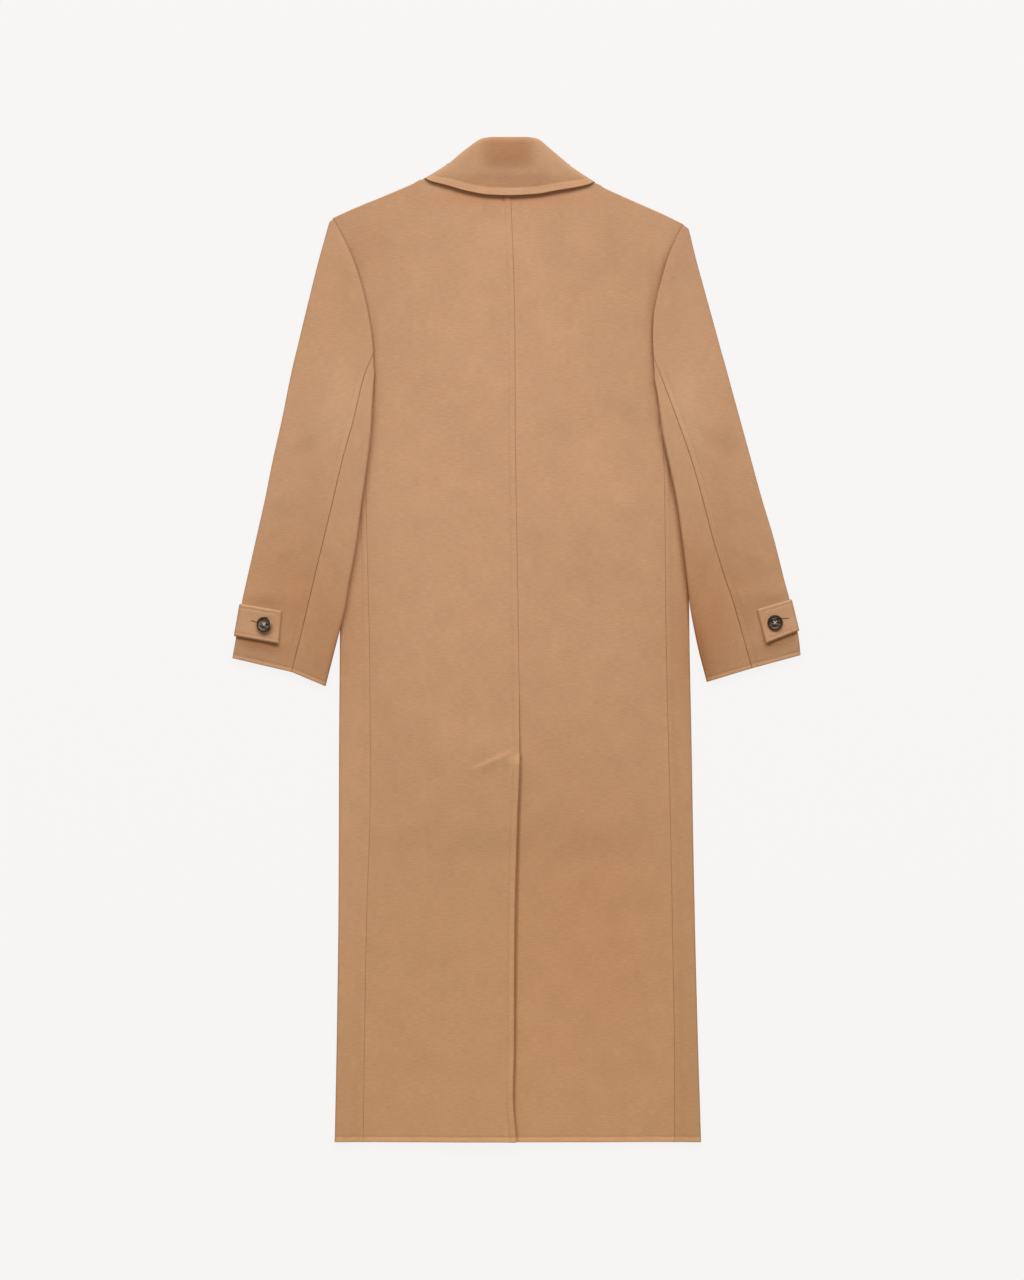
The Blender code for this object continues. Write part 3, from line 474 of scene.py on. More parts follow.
class CoatFinish(bpy.types.PropertyGroup):
    """Colours and nap of the coat."""

    camel: colour("Camel", "Colour of the wool", (0.55, 0.330, 0.196))
    grain_length: metres("Grain length", "Length of a lock of nap", 0.009)
    grain_width: metres("Grain width", "Width of a lock of nap", 0.0016)
    grain_depth: amount("Grain depth", "Change of shade along the nap", 0.31, subtype="FACTOR")
    horn_dark: colour("Horn", "Darkest colour of the horn", (0.028, 0.014, 0.007))
    horn_light: colour("Horn streak", "Streaks in the horn", (0.210, 0.150, 0.108))
    # The palest horn colour shows mainly as the painted reflection on a button's rim
    horn_glint: colour("Pale horn", "Palest streak of the horn", (0.46, 0.36, 0.26))
    seam_thread: colour("Seam thread", "Thread of the seams", (0.34, 0.175, 0.085))
    hole_thread: colour("Buttonhole thread", "Thread round a buttonhole", (0.15, 0.068, 0.030))
    button_thread: colour("Button thread", "Thread that holds a button", (0.84, 0.78, 0.70))


class CoatStage(bpy.types.PropertyGroup):
    """Floor, light and camera."""

    floor: colour("Floor", "Colour of the floor", (0.94, 0.922, 0.914))
    floor_glow: amount("Floor glow", "Share of the floor's light of its own", 0.95, subtype="FACTOR")
    key: amount("Key", "Power of the light beyond the collar", 590.0, unit="POWER")
    fill: amount("Fill", "Strength of the light all round", 0.34)
    fill_tint: colour("Fill tint", "Colour of the light all round", (1.0, 0.84, 0.68))
    distance: metres("Distance", "Camera above the coat", 6.0)
    frame_height: metres("Frame height", "Height that the picture takes in", 1.664)
    centre_x: metres("Centre", "Middle of the picture across", -0.00585)


# Reading the tables


def mix(a, b, share):
    return a + (b - a) * share


def smooth(share):
    share = np.clip(share, 0.0, 1.0)
    return share * share * (3 - 2 * share)


def bell(distance, reach):
    """1 at a distance of nothing, fading over a reach to either side."""
    return np.exp(-((distance / reach) ** 2))


def hermite(a, b, slope_a, slope_b, share):
    """Cubic from a to b; the slopes are per whole span."""
    s2 = share * share
    s3 = s2 * share
    start = a * (2 * s3 - 3 * s2 + 1) + slope_a * (s3 - 2 * s2 + share)
    return start + b * (3 * s2 - 2 * s3) + slope_b * (s3 - s2)


def at_height(table, column, y):
    """A table's column read at height y, along a smooth line through its rows."""
    heights = [row.y for row in table]
    values = [getattr(row, column) for row in table]
    last = len(table) - 1
    k = max(i for i in range(last) if y >= heights[i] or i == 0)
    span = heights[k + 1] - heights[k]

    def slope(i):
        low = max(i - 1, 0)
        high = min(i + 1, last)
        return (values[high] - values[low]) / (heights[high] - heights[low]) * span

    share = (y - heights[k]) / span
    return hermite(values[k], values[k + 1], slope(k), slope(k + 1), share)


def spline(points, steps):
    """Points along a smooth curve through the given ones, steps to a span."""
    last = len(points) - 1
    found = []
    for k in range(last):
        before = points[max(k - 1, 0)]
        after = points[min(k + 2, last)]
        slope_a = (points[k + 1] - before) / (2 if k else 1)
        slope_b = (after - points[k]) / (2 if k + 1 < last else 1)
        for step in range(steps):
            found.append(hermite(points[k], points[k + 1], slope_a, slope_b, step / steps))
    return found + [points[last]]


def armhole(side):
    points = [
        Vector((getattr(row, side + "_x"), getattr(row, side + "_y"))) for row in ARMHOLE
    ]
    return spline(points, ARMHOLE_SPAN)


def body_rows():
    skirt = [mix(HEM_Y, VENT_FOOT_Y, k / SKIRT_STEPS) for k in range(SKIRT_STEPS + 1)]
    waist = [mix(VENT_TOP_Y, UNDERARM_Y, k / WAIST_STEPS) for k in range(WAIST_STEPS + 1)]
    return skirt + waist


def outward(side):
    return -1 if side == "left" else 1


def lifted(point, z):
    """A flat point at a height."""
    return Vector((point.x, point.y, z))


def tuck_share(side, y):
    """How much of the back's reach under a sleeve is left at a height, none at the tip."""
    tip_y = getattr(ARMHOLE[-1], side + "_y")
    return 1 - smooth((y - TUCK_FROM_Y) / (tip_y - TUCK_FROM_Y))


# Heights of the layers


def cover(depth, reach):
    """1 over a layer and its margin, 0 once the cloth above has come down past it."""
    return smooth(1 + (depth + MARGIN) / reach)


def front_edge(side, y):
    """The front's free edge, and its roll line above the break."""
    front = FRONTS[side]
    share = max(y - BREAK_Y, 0.0) / (GORGE_Y - BREAK_Y)
    return mix(front.edge_x, front.neck_x, share)


def lapel_edge(side, y):
    front = FRONTS[side]
    return mix(front.edge_x, front.peak_x, (y - BREAK_Y) / (PEAK_Y - BREAK_Y))


def front_cover(side, x, y, reach):
    return cover((x - front_edge(side, y)) * outward(side), reach)


def lapel_cover(side, x, y, reach):
    inside = (x - front_edge(side, y)) * outward(side)
    beyond = (lapel_edge(side, y) - x) * outward(side)
    return cover(min(inside, beyond, y - BREAK_Y, GORGE_Y - y), reach)


def leaf_cover(side, x, y, reach):
    front = FRONTS[side]
    return cover(min(x - front.leaf_from, front.leaf_to - x, y - LEAF_Y), reach)


def field_cover(x, y, reach):
    return cover(min(FIELD_X - abs(x), FIELD_TOP_Y - y, y - FIELD_FOOT_Y), reach)


def turned_cover(side, x, y, reach):
    """A front's lapel and the end of the collar beside it."""
    return max(lapel_cover(side, x, y, reach), leaf_cover(side, x, y, reach))


def under_right(x, y, reach):
    turned = LAYER * turned_cover("right", x, y, reach)
    return max(turned, BUTTON_ROOM * field_cover(x, y, reach))


def on_right(x, y, reach):
    return (under_right(x, y, reach) + LAYER) * front_cover("right", x, y, reach)


def under_left(x, y, reach):
    turned = (LAYER + LAPEL_EASE) * turned_cover("left", x, y, reach)
    return on_right(x, y, reach) + turned


def on_left(x, y, reach):
    over = (under_left(x, y, reach) + LAYER) * front_cover("left", x, y, reach)
    return max(over, on_right(x, y, reach))


def back_base(x, y):
    depth = min(NECK_HALF_WIDTH - abs(x - NECK_CENTRE_X), y - NECK_FROM_Y)
    return mix(on_left(x, y, BACK_REACH), 2 * LAYER, cover(depth, NECK_REACH))


def lapped_base(x, y):
    """The left back, lifted where the right back's underlap runs beneath it."""
    diagonal = VENT_TOP_Y - (VENT_TOP_X - x) * UNDERLAP_SLOPE - y
    lap = cover(min(x - UNDERLAP_X, diagonal), FRONT_REACH)
    return back_base(x, y) + LAYER * lap


# Mid points of each piece's sections


def panel_row(inner, outer, table, side, crown, height):
    """Mid points from an inner to an outer edge, risen to the neck and shoulder line by crown."""
    row = []
    for rise in table:
        x = mix(inner.x, outer.x, rise.share)
        y = mix(inner.y, outer.y, rise.share) + getattr(rise, side) * crown
        row.append(Vector((x, y, height(x, y) + HALF)))
    return row


def tucked(side, point, tuck):
    """A point of the armhole moved under the sleeve, less so towards the shoulder tip."""
    return point + Vector((tuck * tuck_share(side, point.y) * outward(side), 0.0))


def panel(side, seam, inner_edge, neck_y, table, height, tuck=0.0):
    """Rows of a back or front: up its lengthwise seam, then up the armhole to the shoulder."""
    gap = Vector((SEAM / 2, 0.0)) * outward(side)
    rows = []
    for y in body_rows():
        inner = Vector((inner_edge(y), y))
        outer = Vector((at_height(BODY, f"{seam}_{side}", y), y)) - gap
        rows.append(panel_row(inner, outer, table, side, 0.0, height))
    hole = armhole(side)
    tip_y = hole[-1].y
    for point in hole[1:]:
        y = mix(UNDERARM_Y, neck_y, (point.y - UNDERARM_Y) / (tip_y - UNDERARM_Y))
        crown = smooth((point.y - CROWN_FROM_Y) / (tip_y - CROWN_FROM_Y))
        inner = Vector((inner_edge(y), y))
        outer = tucked(side, point - gap, tuck)
        rows.append(panel_row(inner, outer, table, side, crown, height))
    return rows


def left_back_edge(y):
    return at_height(BODY, "centre", y) - SEAM / 2


def right_back_edge(y):
    if y <= VENT_FOOT_Y:
        return UNDERLAP_X
    return at_height(BODY, "centre", y) + SEAM / 2


def back_rows(side):
    edge = left_back_edge if side == "left" else right_back_edge
    height = lapped_base if side == "left" else back_base
    return panel(side, "seam", edge, BACK_NECK_Y, BACK_TOP, height, TUCK)


def front_rows(side):
    under = under_left if side == "left" else under_right
    return panel(
        side,
        "front",
        lambda y: front_edge(side, y),
        GORGE_Y,
        FRONT_TOP,
        lambda x, y: under(x, y, FRONT_REACH),
    )


def lapel_rows(side):
    """The turned-back top of a front, on the front's outer face."""
    rows = []
    for i in range(LAPEL_ROWS):
        share = i / (LAPEL_ROWS - 1)
        inner_y = mix(LAPEL_FOOT_Y, GORGE_Y, share)
        outer_y = mix(LAPEL_FOOT_Y, PEAK_Y, share)
        inner = Vector((front_edge(side, inner_y), inner_y))
        outer = Vector((lapel_edge(side, outer_y), outer_y))
        row = []
        for j in range(LAPEL_COLUMNS):
            point = inner.lerp(outer, j / (LAPEL_COLUMNS - 1))
            low = on_right(point.x, point.y, FRONT_REACH) if side == "left" else 0.0
            row.append(lifted(point, low + HALF))
        rows.append(row)
    return rows


def bend(centre, inward, puff):
    """Half a turn from the top leg round the outer side to the bottom leg."""
    points = []
    for k in range(FOLD_STEPS + 1):
        angle = math.pi / 2 - math.pi * k / FOLD_STEPS
        out = inward.to_3d() * (-puff * math.cos(angle))
        points.append(centre + out + UP * (puff * math.sin(angle)))
    return points


def legs(start, stop, height, steps):
    """Points from start towards stop, which is left out."""
    found = []
    for k in range(steps):
        point = start.lerp(stop, k / steps)
        found.append(lifted(point, height(point, k / steps)))
    return found


def side_rows(side):
    inward = Vector((-outward(side), 0.0))
    gap = inward * SEAM / 2
    rows = []
    for y in body_rows():
        dip = UNDERARM_DIP * smooth((y - DIP_FROM_Y) / (UNDERARM_Y - DIP_FROM_Y))
        edge = Vector((at_height(BODY, f"edge_{side}", y), y - dip))
        seam = Vector((at_height(BODY, f"seam_{side}", y), y)) - gap
        front_seam = Vector((at_height(BODY, f"front_{side}", y), y)) - gap
        turn = edge + inward * (HALF + SIDE_PUFF)
        seam_z = back_base(seam.x, seam.y) + HALF
        fold_z = HALF + 2 * SIDE_PUFF
        top = legs(seam, turn, lambda p, s: mix(seam_z, fold_z, smooth(s)), LEG_STEPS)
        fold = bend(lifted(turn, HALF + SIDE_PUFF), inward, SIDE_PUFF)
        under = legs(front_seam, turn, lambda p, s: HALF, LEG_STEPS)
        rows.append(top + fold + under[::-1])
    return rows


Section = namedtuple("Section", "outer seam inner rest")


def cap_sections(side):
    """From the shoulder tip down the armhole to the top of the sleeve seam."""
    hole = armhole(side)
    points = [hole[-2].lerp(hole[-1], TIP_SHARE)] + hole[-2 : SEAM_TOP - 1 : -1]
    found = []
    for point in points:
        outer_y = point.y - TIP_CORNER * (not found)
        outer = Vector((at_height(CAP_EDGE, side, outer_y), outer_y))
        found.append(Section(outer, point, None, CAP_REST))
    return found


def arm_sections(side):
    found = []
    for row, rest in zip(SLEEVES[side], RESTS):
        outer = Vector((row.outer_x, row.outer_y))
        seam = Vector((row.seam_x, row.seam_y))
        found.append(Section(outer, seam, Vector((row.inner_x, row.inner_y)), rest))
    return found


def climb(y):
    """0 where the sleeve is set in at the armhole, 1 where it lies on the body."""
    return smooth((CLIMB_FROM_Y - y) / (CLIMB_FROM_Y - CLIMB_TO_Y))


def rest_height(rest, point):
    share = smooth((REST_FROM_X - abs(point.x)) / (REST_FROM_X - REST_FULL_X))
    return mix(rest.outer, rest.inner * climb(point.y), share)


def nearest_on(line, place):
    """The point of a line that is nearest to a place."""
    found = []
    for a, b in zip(line, line[1:]):
        run = b - a
        share = min(max((place - a).dot(run) / run.length_squared, 0.0), 1.0)
        found.append(a + run * share)
    return min(found, key=lambda point: (point - place).length)


def sleeve_top(hole, rest, point):
    """Mid height of the top layer, which comes down to the back along the armhole."""
    full = rest_height(rest, point) + HALF + 2 * rest.puff
    near = nearest_on(hole, point)
    to_tip = smooth((near.y - TUCK_FROM_Y) / (hole[-1].y - TUCK_FROM_Y))
    low = back_base(near.x, near.y) + HALF + mix(ARMHOLE_STAND, TIP_STAND, to_tip)
    down = (1 - climb(point.y)) * smooth(1 - (near - point).length / ARMHOLE_FADE)
    return mix(full, low, down)


def sleeve_half(side, section, tip, seam, steps):
    """Mid points from a seam on top, round the fold at tip, to the seam beneath."""
    rest = section.rest
    hole = armhole(side)
    inward = (seam - tip).normalized()
    turn = tip + inward * (HALF + rest.puff)
    low_end = rest_height(rest, turn) + HALF
    puff = (sleeve_top(hole, rest, turn) - low_end) / 2
    top = legs(seam, turn, lambda p, s: sleeve_top(hole, rest, p), steps)
    fold = bend(lifted(turn, low_end + puff), inward, puff)
    under = legs(seam, turn, lambda p, s: rest_height(rest, p) + HALF, steps)
    return top + fold + under[::-1]


def slit(side):
    return Vector((SLEEVE_SLIT * outward(side), 0.0))


def upper_sleeve_rows(side):
    sections = cap_sections(side) + arm_sections(side)
    return [sleeve_half(side, s, s.outer, s.seam + slit(side), UPPER_STEPS) for s in sections]


def under_sleeve_rows(side):
    sections = arm_sections(side)
    return [sleeve_half(side, s, s.inner, s.seam - slit(side), UNDER_STEPS) for s in sections]


def tab_section(side, outer_y):
    """The sleeve's section that meets its outer edge at a height within its tab."""
    first, second = arm_sections(side)[TAB_SECTION : TAB_SECTION + 2]
    share = (outer_y - first.outer.y) / (second.outer.y - first.outer.y)
    rest = Rest(*(mix(a, b, share) for a, b in zip(first.rest, second.rest)))
    return Section(
        first.outer.lerp(second.outer, share),
        first.seam.lerp(second.seam, share),
        first.inner.lerp(second.inner, share),
        rest,
    )


def tab_rows(side):
    """A strap on the sleeve's surface, moved out by one layer."""
    top_edge, bottom_edge = TABS[side]
    rows = []
    for k in range(TAB_ROWS):
        share = k / (TAB_ROWS - 1)
        line = Tab(*(mix(a, b, share) for a, b in zip(top_edge, bottom_edge)))
        section = tab_section(side, line.outer_y)
        rest = section.rest
        free = Vector((line.free_x, line.free_y))
        inward = (free - section.outer).normalized()
        turn = section.outer + inward * (HALF + rest.puff)
        hidden = section.outer + inward * TAB_UNDER
        out = rest.puff + LAYER

        def middle(point):
            return rest_height(rest, point) + HALF + rest.puff

        top = legs(free, turn, lambda p, s: middle(p) + out, TAB_STEPS)
        fold = bend(lifted(turn, middle(turn)), inward, out)
        under = legs(hidden, turn, lambda p, s: middle(p) - out, TAB_STEPS)
        rows.append(top + fold + under[::-1])
    return rows


def collar_row(station, out):
    """One section: up the stand, over the roll and down the fall, turned about the neck."""
    neck = Vector((station.neck_x, station.neck_y))
    roll = Vector((station.roll_x, station.roll_y))
    edge = Vector((station.edge_x, station.edge_y))
    edge += (roll - edge).normalized() * COLLAR_TRIM
    up = (roll - neck).normalized()
    top = roll - up * (HALF + station.radius)
    turned = math.radians(station.turn)
    back_share = (1 + math.cos(turned)) / 2
    fall_out = STAND_OUT + 2 * station.radius
    edge_out = STAND_OUT + LAYER + COLLAR_LIFT * back_share
    flat = [(neck.lerp(top, k / STAND_STEPS), STAND_OUT) for k in range(STAND_STEPS)]
    for k in range(FOLD_STEPS + 1):
        angle = math.pi * k / FOLD_STEPS
        place = top + up * station.radius * math.sin(angle)
        flat.append((place, STAND_OUT + station.radius * (1 - math.cos(angle))))
    for k in range(1, FALL_STEPS + 1):
        share = k / FALL_STEPS
        flat.append((top.lerp(edge, share), mix(fall_out, edge_out, smooth(share))))
    row = []
    for place, away in flat:
        moved = place + out * away * math.sin(turned)
        row.append(lifted(moved, NECK_MID_Z + away * math.cos(turned)))
    return row


def collar_rows():
    halves = [[collar_row(row, COLLAR_OUT[side]) for row in COLLARS[side]] for side in SIDES]
    centre = collar_row(COLLAR_CENTRE, COLLAR_OUT["left"])
    return halves[0][::-1] + [centre] + halves[1]


# Fine grids and shells

Grid = namedtuple("Grid", "points left right start end")
Form = namedtuple("Form", "grid outer inner turned grain")


def slopes(values):
    """Slopes of a line through the rows of values that never runs past them."""
    steps = np.diff(values, axis=0)
    product = steps[:-1] * steps[1:]
    total = np.where(product > 0, steps[:-1] + steps[1:], 1.0)
    inner = np.where(product > 0, 2 * product / total, 0.0)
    return np.concatenate([steps[:1], inner, steps[-1:]])


def through(values, places):
    """A smooth line through the rows of values, read at fractions of a row."""
    k = np.clip(places.astype(int), 0, len(values) - 2)
    share = (places - k).reshape(-1, 1, 1)
    rate = slopes(values)
    return hermite(values[k], values[k + 1], rate[k], rate[k + 1], share)


def distances(lines):
    """Distance of each point from its line's start."""
    spans = np.linalg.norm(np.diff(lines, axis=1), axis=2)
    return np.pad(np.cumsum(spans, axis=1), ((0, 0), (1, 0)))


def paces(lines, step, focus):
    """Cells from each line's start to its points: a bend takes up cells as well as a length."""
    runs = np.diff(lines, axis=1)
    spans = np.linalg.norm(runs, axis=2)
    unit = runs / np.maximum(spans, TINY)[..., None]
    turned = np.arccos(np.clip((unit[:, :-1] * unit[:, 1:]).sum(2), -1.0, 1.0))
    cells = spans / step
    if focus:
        far = lines[:, 1:, focus.axis] - focus.place
        cells = cells * (1 + focus.share * bell(far, focus.reach))
    cells[:, 1:] += turned / BEND_ANGLE
    return np.pad(np.cumsum(cells, axis=1), ((0, 0), (1, 0)))


def resampled(lines, step, focus):
    """Each line read at even paces, closer together near both of its ends."""
    pace = paces(lines, step, focus)
    middle = max(2, round(pace[:, -1].mean() - 2 * EDGE_REACH / step))
    found = []
    for line, reach, cells in zip(lines, distances(lines), pace):
        length = reach[-1]
        near = EDGE_STATIONS * min(1.0, length / (EDGE_ROOM * EDGE_REACH))
        first, last = np.interp((near[-1], length - near[-1]), reach, cells)
        inside = np.interp(np.linspace(first, last, middle + 2)[1:-1], cells, reach)
        places = np.concatenate([near, inside, length - near[::-1]])
        found.append(np.stack([np.interp(places, reach, axis) for axis in line.T], axis=1))
    return np.array(found)


def fine_grid(rows, step, across=None):
    points = np.array([[tuple(point) for point in row] for row in rows])
    for _ in range(2):
        places = np.linspace(0, len(points) - 1, BETWEEN * (len(points) - 1) + 1)
        points = through(points, places).swapaxes(0, 1)
    points = resampled(points.swapaxes(0, 1), step, CREASE_ROWS).swapaxes(0, 1)
    points = resampled(points, step, across)
    across = distances(points)
    along = distances(points.swapaxes(0, 1)).T
    return Grid(points, across, across[:, -1:] - across, along, along[-1:] - along)


def normals(points):
    normal = np.cross(np.gradient(points, axis=1), np.gradient(points, axis=0))
    return normal / np.maximum(np.linalg.norm(normal, axis=2, keepdims=True), TINY**2)


def strip(distance, width, sizes):
    """A lap along an edge that ends in a soft step with a line of sewing along it."""
    step = sizes.lap_height * (1 - smooth((distance - width) / STEP_SOFT + 0.5))
    return step - sizes.sewn_depth * bell(distance - width, SEWN_SOFT)


def flare(distance, width, height, groove):
    """A turned edge that rises to its rim, with a shallow groove along its inner side."""
    rise = height * np.clip(1 - distance / width, 0.0, 1.0)
    return rise - groove * bell(distance - width, LINE_SOFT)


def creases(table, x, y):
    """Height of a table of soft ridges, each fading towards its two ends."""
    total = np.zeros_like(x)
    for crease in table:
        run = np.array((crease.x1 - crease.x0, crease.y1 - crease.y0))
        length = np.linalg.norm(run)
        unit = run / length
        ahead = ((x - crease.x0) * unit[0] + (y - crease.y0) * unit[1]) / length
        aside = (x - crease.x0) * unit[1] - (y - crease.y0) * unit[0]
        taper = np.sin(np.pi * np.clip(ahead, 0.0, 1.0)) ** CREASE_TAPER
        reach = np.where(aside < 0, crease.width, crease.fall or crease.width)
        total += crease.height * taper * bell(aside, reach)
    return total


def form_of(grid, edges, raised=0.0, moved=0.0, up_at=(0, 0), grain=None):
    """Outer and inner face about a grid; edges holds the radius that each rim is rounded to, and
    grain the two ways that the nap is measured along."""
    normal = normals(grid.points)
    turned = normal[up_at][2] < 0
    if turned:
        normal = -normal
    near = [distance / radius for distance, radius in zip(grid[1:], edges)]
    share = np.clip(np.minimum.reduce(near), 0.0, 1.0)
    thick = HALF * np.sqrt(1 - (1 - share) ** 2)
    up = np.clip(normal[..., 2], 0.0, 1.0)
    mid = grid.points + normal * (moved * up)[..., None]
    outer = mid + normal * (thick + raised * up)[..., None]
    inner = mid - normal * thick[..., None]
    return Form(grid, outer, inner, turned, grain or (grid.left, grid.start))


def quads(index):
    corners = (index[:-1, :-1], index[:-1, 1:], index[1:, 1:], index[1:, :-1])
    return np.stack(corners, axis=-1).reshape(-1, 4)


def painted_light_and_shade(name, x, y):
    """Painted light and shade: what the cloth's colour is multiplied by at each place of a piece."""
    total = np.ones((len(x), 4))
    for patch in PAINTED_PATCHES:
        if not name.startswith(patch.on):
            continue
        run = np.array((math.cos(patch.turn), math.sin(patch.turn)))
        ahead = ((x - patch.x) * run[0] + (y - patch.y) * run[1]) / patch.along
        aside = ((y - patch.y) * run[0] - (x - patch.x) * run[1]) / patch.aside
        share = np.exp(-(np.abs(ahead) ** (2 * patch.flat)) - np.abs(aside) ** (2 * patch.flat))
        total[:, :3] += share[:, None] * (patch.red, patch.green, patch.blue)
    return total


def with_inside(values):
    """Values of the outer face, then those of the inner face without its rim."""
    return np.concatenate([values.reshape(-1), values[1:-1, 1:-1].reshape(-1)])


def shell(name, form, material):
    """A closed mesh whose two faces share their rim."""
    deep, wide = form.outer.shape[:2]
    outer = np.arange(deep * wide).reshape(deep, wide)
    inner = outer.copy()
    inside = (deep - 2) * (wide - 2)
    inner[1:-1, 1:-1] = deep * wide + np.arange(inside).reshape(deep - 2, wide - 2)
    points = np.concatenate([form.outer.reshape(-1, 3), form.inner[1:-1, 1:-1].reshape(-1, 3)])
    faces = np.concatenate([quads(outer), quads(inner)[:, ::-1]])
    if form.turned:
        faces = faces[:, ::-1]
    data = bpy.data.meshes.new(name)
    data.from_pydata(points.tolist(), [], faces.tolist())
    grain = np.stack([with_inside(way) for way in form.grain], axis=1)
    layer = data.uv_layers.new(name="Grain")
    layer.uv.foreach_set("vector", grain[faces.reshape(-1)].astype(np.float32).reshape(-1))
    # Painted light and shade of the piece, kept at each point
    painted = data.attributes.new("painted_light_and_shade", "FLOAT_COLOR", "POINT")
    painted_colours = painted_light_and_shade(name, points[:, 0], points[:, 1])
    painted.data.foreach_set("color", painted_colours.astype(np.float32).reshape(-1))
    data.shade_smooth()
    return add_piece(name, data, material)


def add_object(name, data):
    made = bpy.data.objects.new(name, data)
    bpy.context.scene.collection.objects.link(made)
    return made


def add_piece(name, data, material):
    data.materials.clear()
    data.materials.append(material)
    return add_object(name, data)


def cloth_piece(name, form, finish):
    """A shell that stands for the solid of the same name, with the cut that it was made from."""
    made = shell(name + "_cloth", form, wool(finish))
    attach(made, BODY_NAME)
    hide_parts(name)


# Forms of the pieces

# The vent's edge: how far below its top it has come up, how much more it stands at its fullest,
# how far below the top that is and reaches, and how wide its bend is
VENT_OPENS = 0.016
VENT_FULLER = 0.6
VENT_FULLEST = 0.025
VENT_FULL_REACH = 0.040
VENT_BEND = 0.024
# The trough beside it: where it has opened, how far aside of the edge it lies, and its reach
BED_OPENS = 0.010
BED_ASIDE = 0.0010
BED_REACH = 0.0022
# The dip and groove along an armhole: where both open, where the dip closes, and their reaches
TROUGH_OPENS = 0.02
DIP_CLOSES = 0.06
DIP_REACH = 0.008
GROOVE_REACH = 0.0018
# How far from the cap and the cuff a sleeve has swollen, and where its lap ends at the armhole
SWELL_FROM_CAP = 0.12
SWELL_FROM_CUFF = 0.10
LAP_TO_Y = 0.33
LAP_FADE = 0.04
SLEEVE_LAP_SHARE = 0.5
COLLAR_FADE = 0.10
TAB_END_BEND = 0.020
TAB_LOW_BEND = 0.024
# Cells of the hidden fronts, the collar and the tabs, in those of the other cloth
FRONT_CELLS = 2
COLLAR_CELLS = 0.7
TAB_CELLS = 0.5
PLAIN_RIM = (HALF,) * 4


def vent_lift(grid, sizes):
    """The vent's open edge, which stands up most just below its top."""
    below = VENT_TOP_Y - grid.points[..., 1]
    fuller = 1 + VENT_FULLER * bell(below - VENT_FULLEST, VENT_FULL_REACH)
    return sizes.vent_lift * smooth(below / VENT_OPENS) * fuller * (1 - smooth(grid.left / VENT_BEND))


def vent_bed(x, y):
    """A trough of the right back along the vent's edge, as deep as 1."""
    heights = np.linspace(HEM_Y, VENT_TOP_Y, VENT_STEPS)
    edge = np.interp(y, heights, [left_back_edge(height) for height in heights])
    return smooth((VENT_TOP_Y - y) / BED_OPENS) * bell(x - edge - BED_ASIDE, BED_REACH)


def armhole_trough(side, grid, sizes):
    """A back's dip along the sleeve, with a narrow groove in it that runs up to the shoulder."""
    y = grid.points[..., 1]
    away = grid.right - TUCK * tuck_share(side, y)
    dip = sizes.armhole_dip * (1 - smooth((y - TUCK_FROM_Y) / DIP_CLOSES)) * bell(away, DIP_REACH)
    groove = sizes.armhole_groove * bell(away, GROOVE_REACH)
    return smooth((y - UNDERARM_Y) / TROUGH_OPENS) * (dip + groove)


def flat_places(grid):
    """X and Y of a grid's points."""
    return grid.points[..., 0], grid.points[..., 1]


def hem(grid, sizes):
    return flare(grid.start, sizes.hem_width, sizes.hem_flare, sizes.groove)


def cuff(grid, sizes):
    return flare(grid.end, sizes.cuff_width, sizes.cuff_flare, sizes.groove)


def back_form(side, sizes):
    grid = fine_grid(back_rows(side), sizes.cell, VENT_COLUMNS if side == "right" else None)
    x, y = flat_places(grid)
    raised = hem(grid, sizes)
    moved = creases(BACK_CREASES, x, y)
    if side == "left":
        raised = raised + strip(grid.left, sizes.centre_lap, sizes)
        moved = moved + vent_lift(grid, sizes)
    else:
        moved = moved - sizes.vent_bed * vent_bed(x, y)
    moved = moved - armhole_trough(side, grid, sizes)
    inner_edge = np.where(y < VENT_TOP_Y, sizes.crisp_round, sizes.centre_round)
    edges = (inner_edge, sizes.side_round, HALF, HALF)
    return form_of(grid, edges, raised, moved, grain=(x, y))


def side_form(side, sizes):
    grid = fine_grid(side_rows(side), sizes.cell)
    raised = hem(grid, sizes) + strip(grid.left, sizes.side_lap, sizes)
    return form_of(grid, (sizes.side_round, sizes.side_round, HALF, HALF), raised)


def front_form(side, sizes):
    grid = fine_grid(front_rows(side), FRONT_CELLS * sizes.cell)
    edges = (HALF, sizes.side_round, HALF, HALF)
    return form_of(grid, edges, grain=flat_places(grid))


def lapel_form(side, sizes):
    grid = fine_grid(lapel_rows(side), FRONT_CELLS * sizes.cell)
    return form_of(grid, PLAIN_RIM, grain=flat_places(grid))


def upper_sleeve_form(side, sizes):
    grid = fine_grid(upper_sleeve_rows(side), sizes.cell)
    x, y = flat_places(grid)
    on_seam = 1 - smooth((y - LAP_TO_Y) / LAP_FADE)
    raised = SLEEVE_LAP_SHARE * strip(grid.left, sizes.sleeve_lap, sizes) * on_seam
    swell = np.sin(np.pi * np.clip(grid.left / (grid.left[:, -1:] / 2), 0.0, 1.0))
    ends = smooth(grid.start / SWELL_FROM_CAP) * smooth(grid.end / SWELL_FROM_CUFF)
    moved = sizes.sleeve_swell * swell * ends + creases(SLEEVE_CREASES[side], x, y)
    set_in = y > ARMHOLE[ARMHOLE_SPAN].left_y
    seam_edge = np.where(set_in, sizes.armhole_round, sizes.sleeve_round)
    edges = (seam_edge, sizes.sleeve_round, sizes.sleeve_round, HALF)
    return form_of(grid, edges, raised + cuff(grid, sizes), moved)


def under_sleeve_form(side, sizes):
    grid = fine_grid(under_sleeve_rows(side), sizes.cell)
    moved = creases(SLEEVE_CREASES[side], *flat_places(grid))
    edges = (sizes.sleeve_round, sizes.sleeve_round, sizes.sleeve_round, HALF)
    return form_of(grid, edges, cuff(grid, sizes), moved)


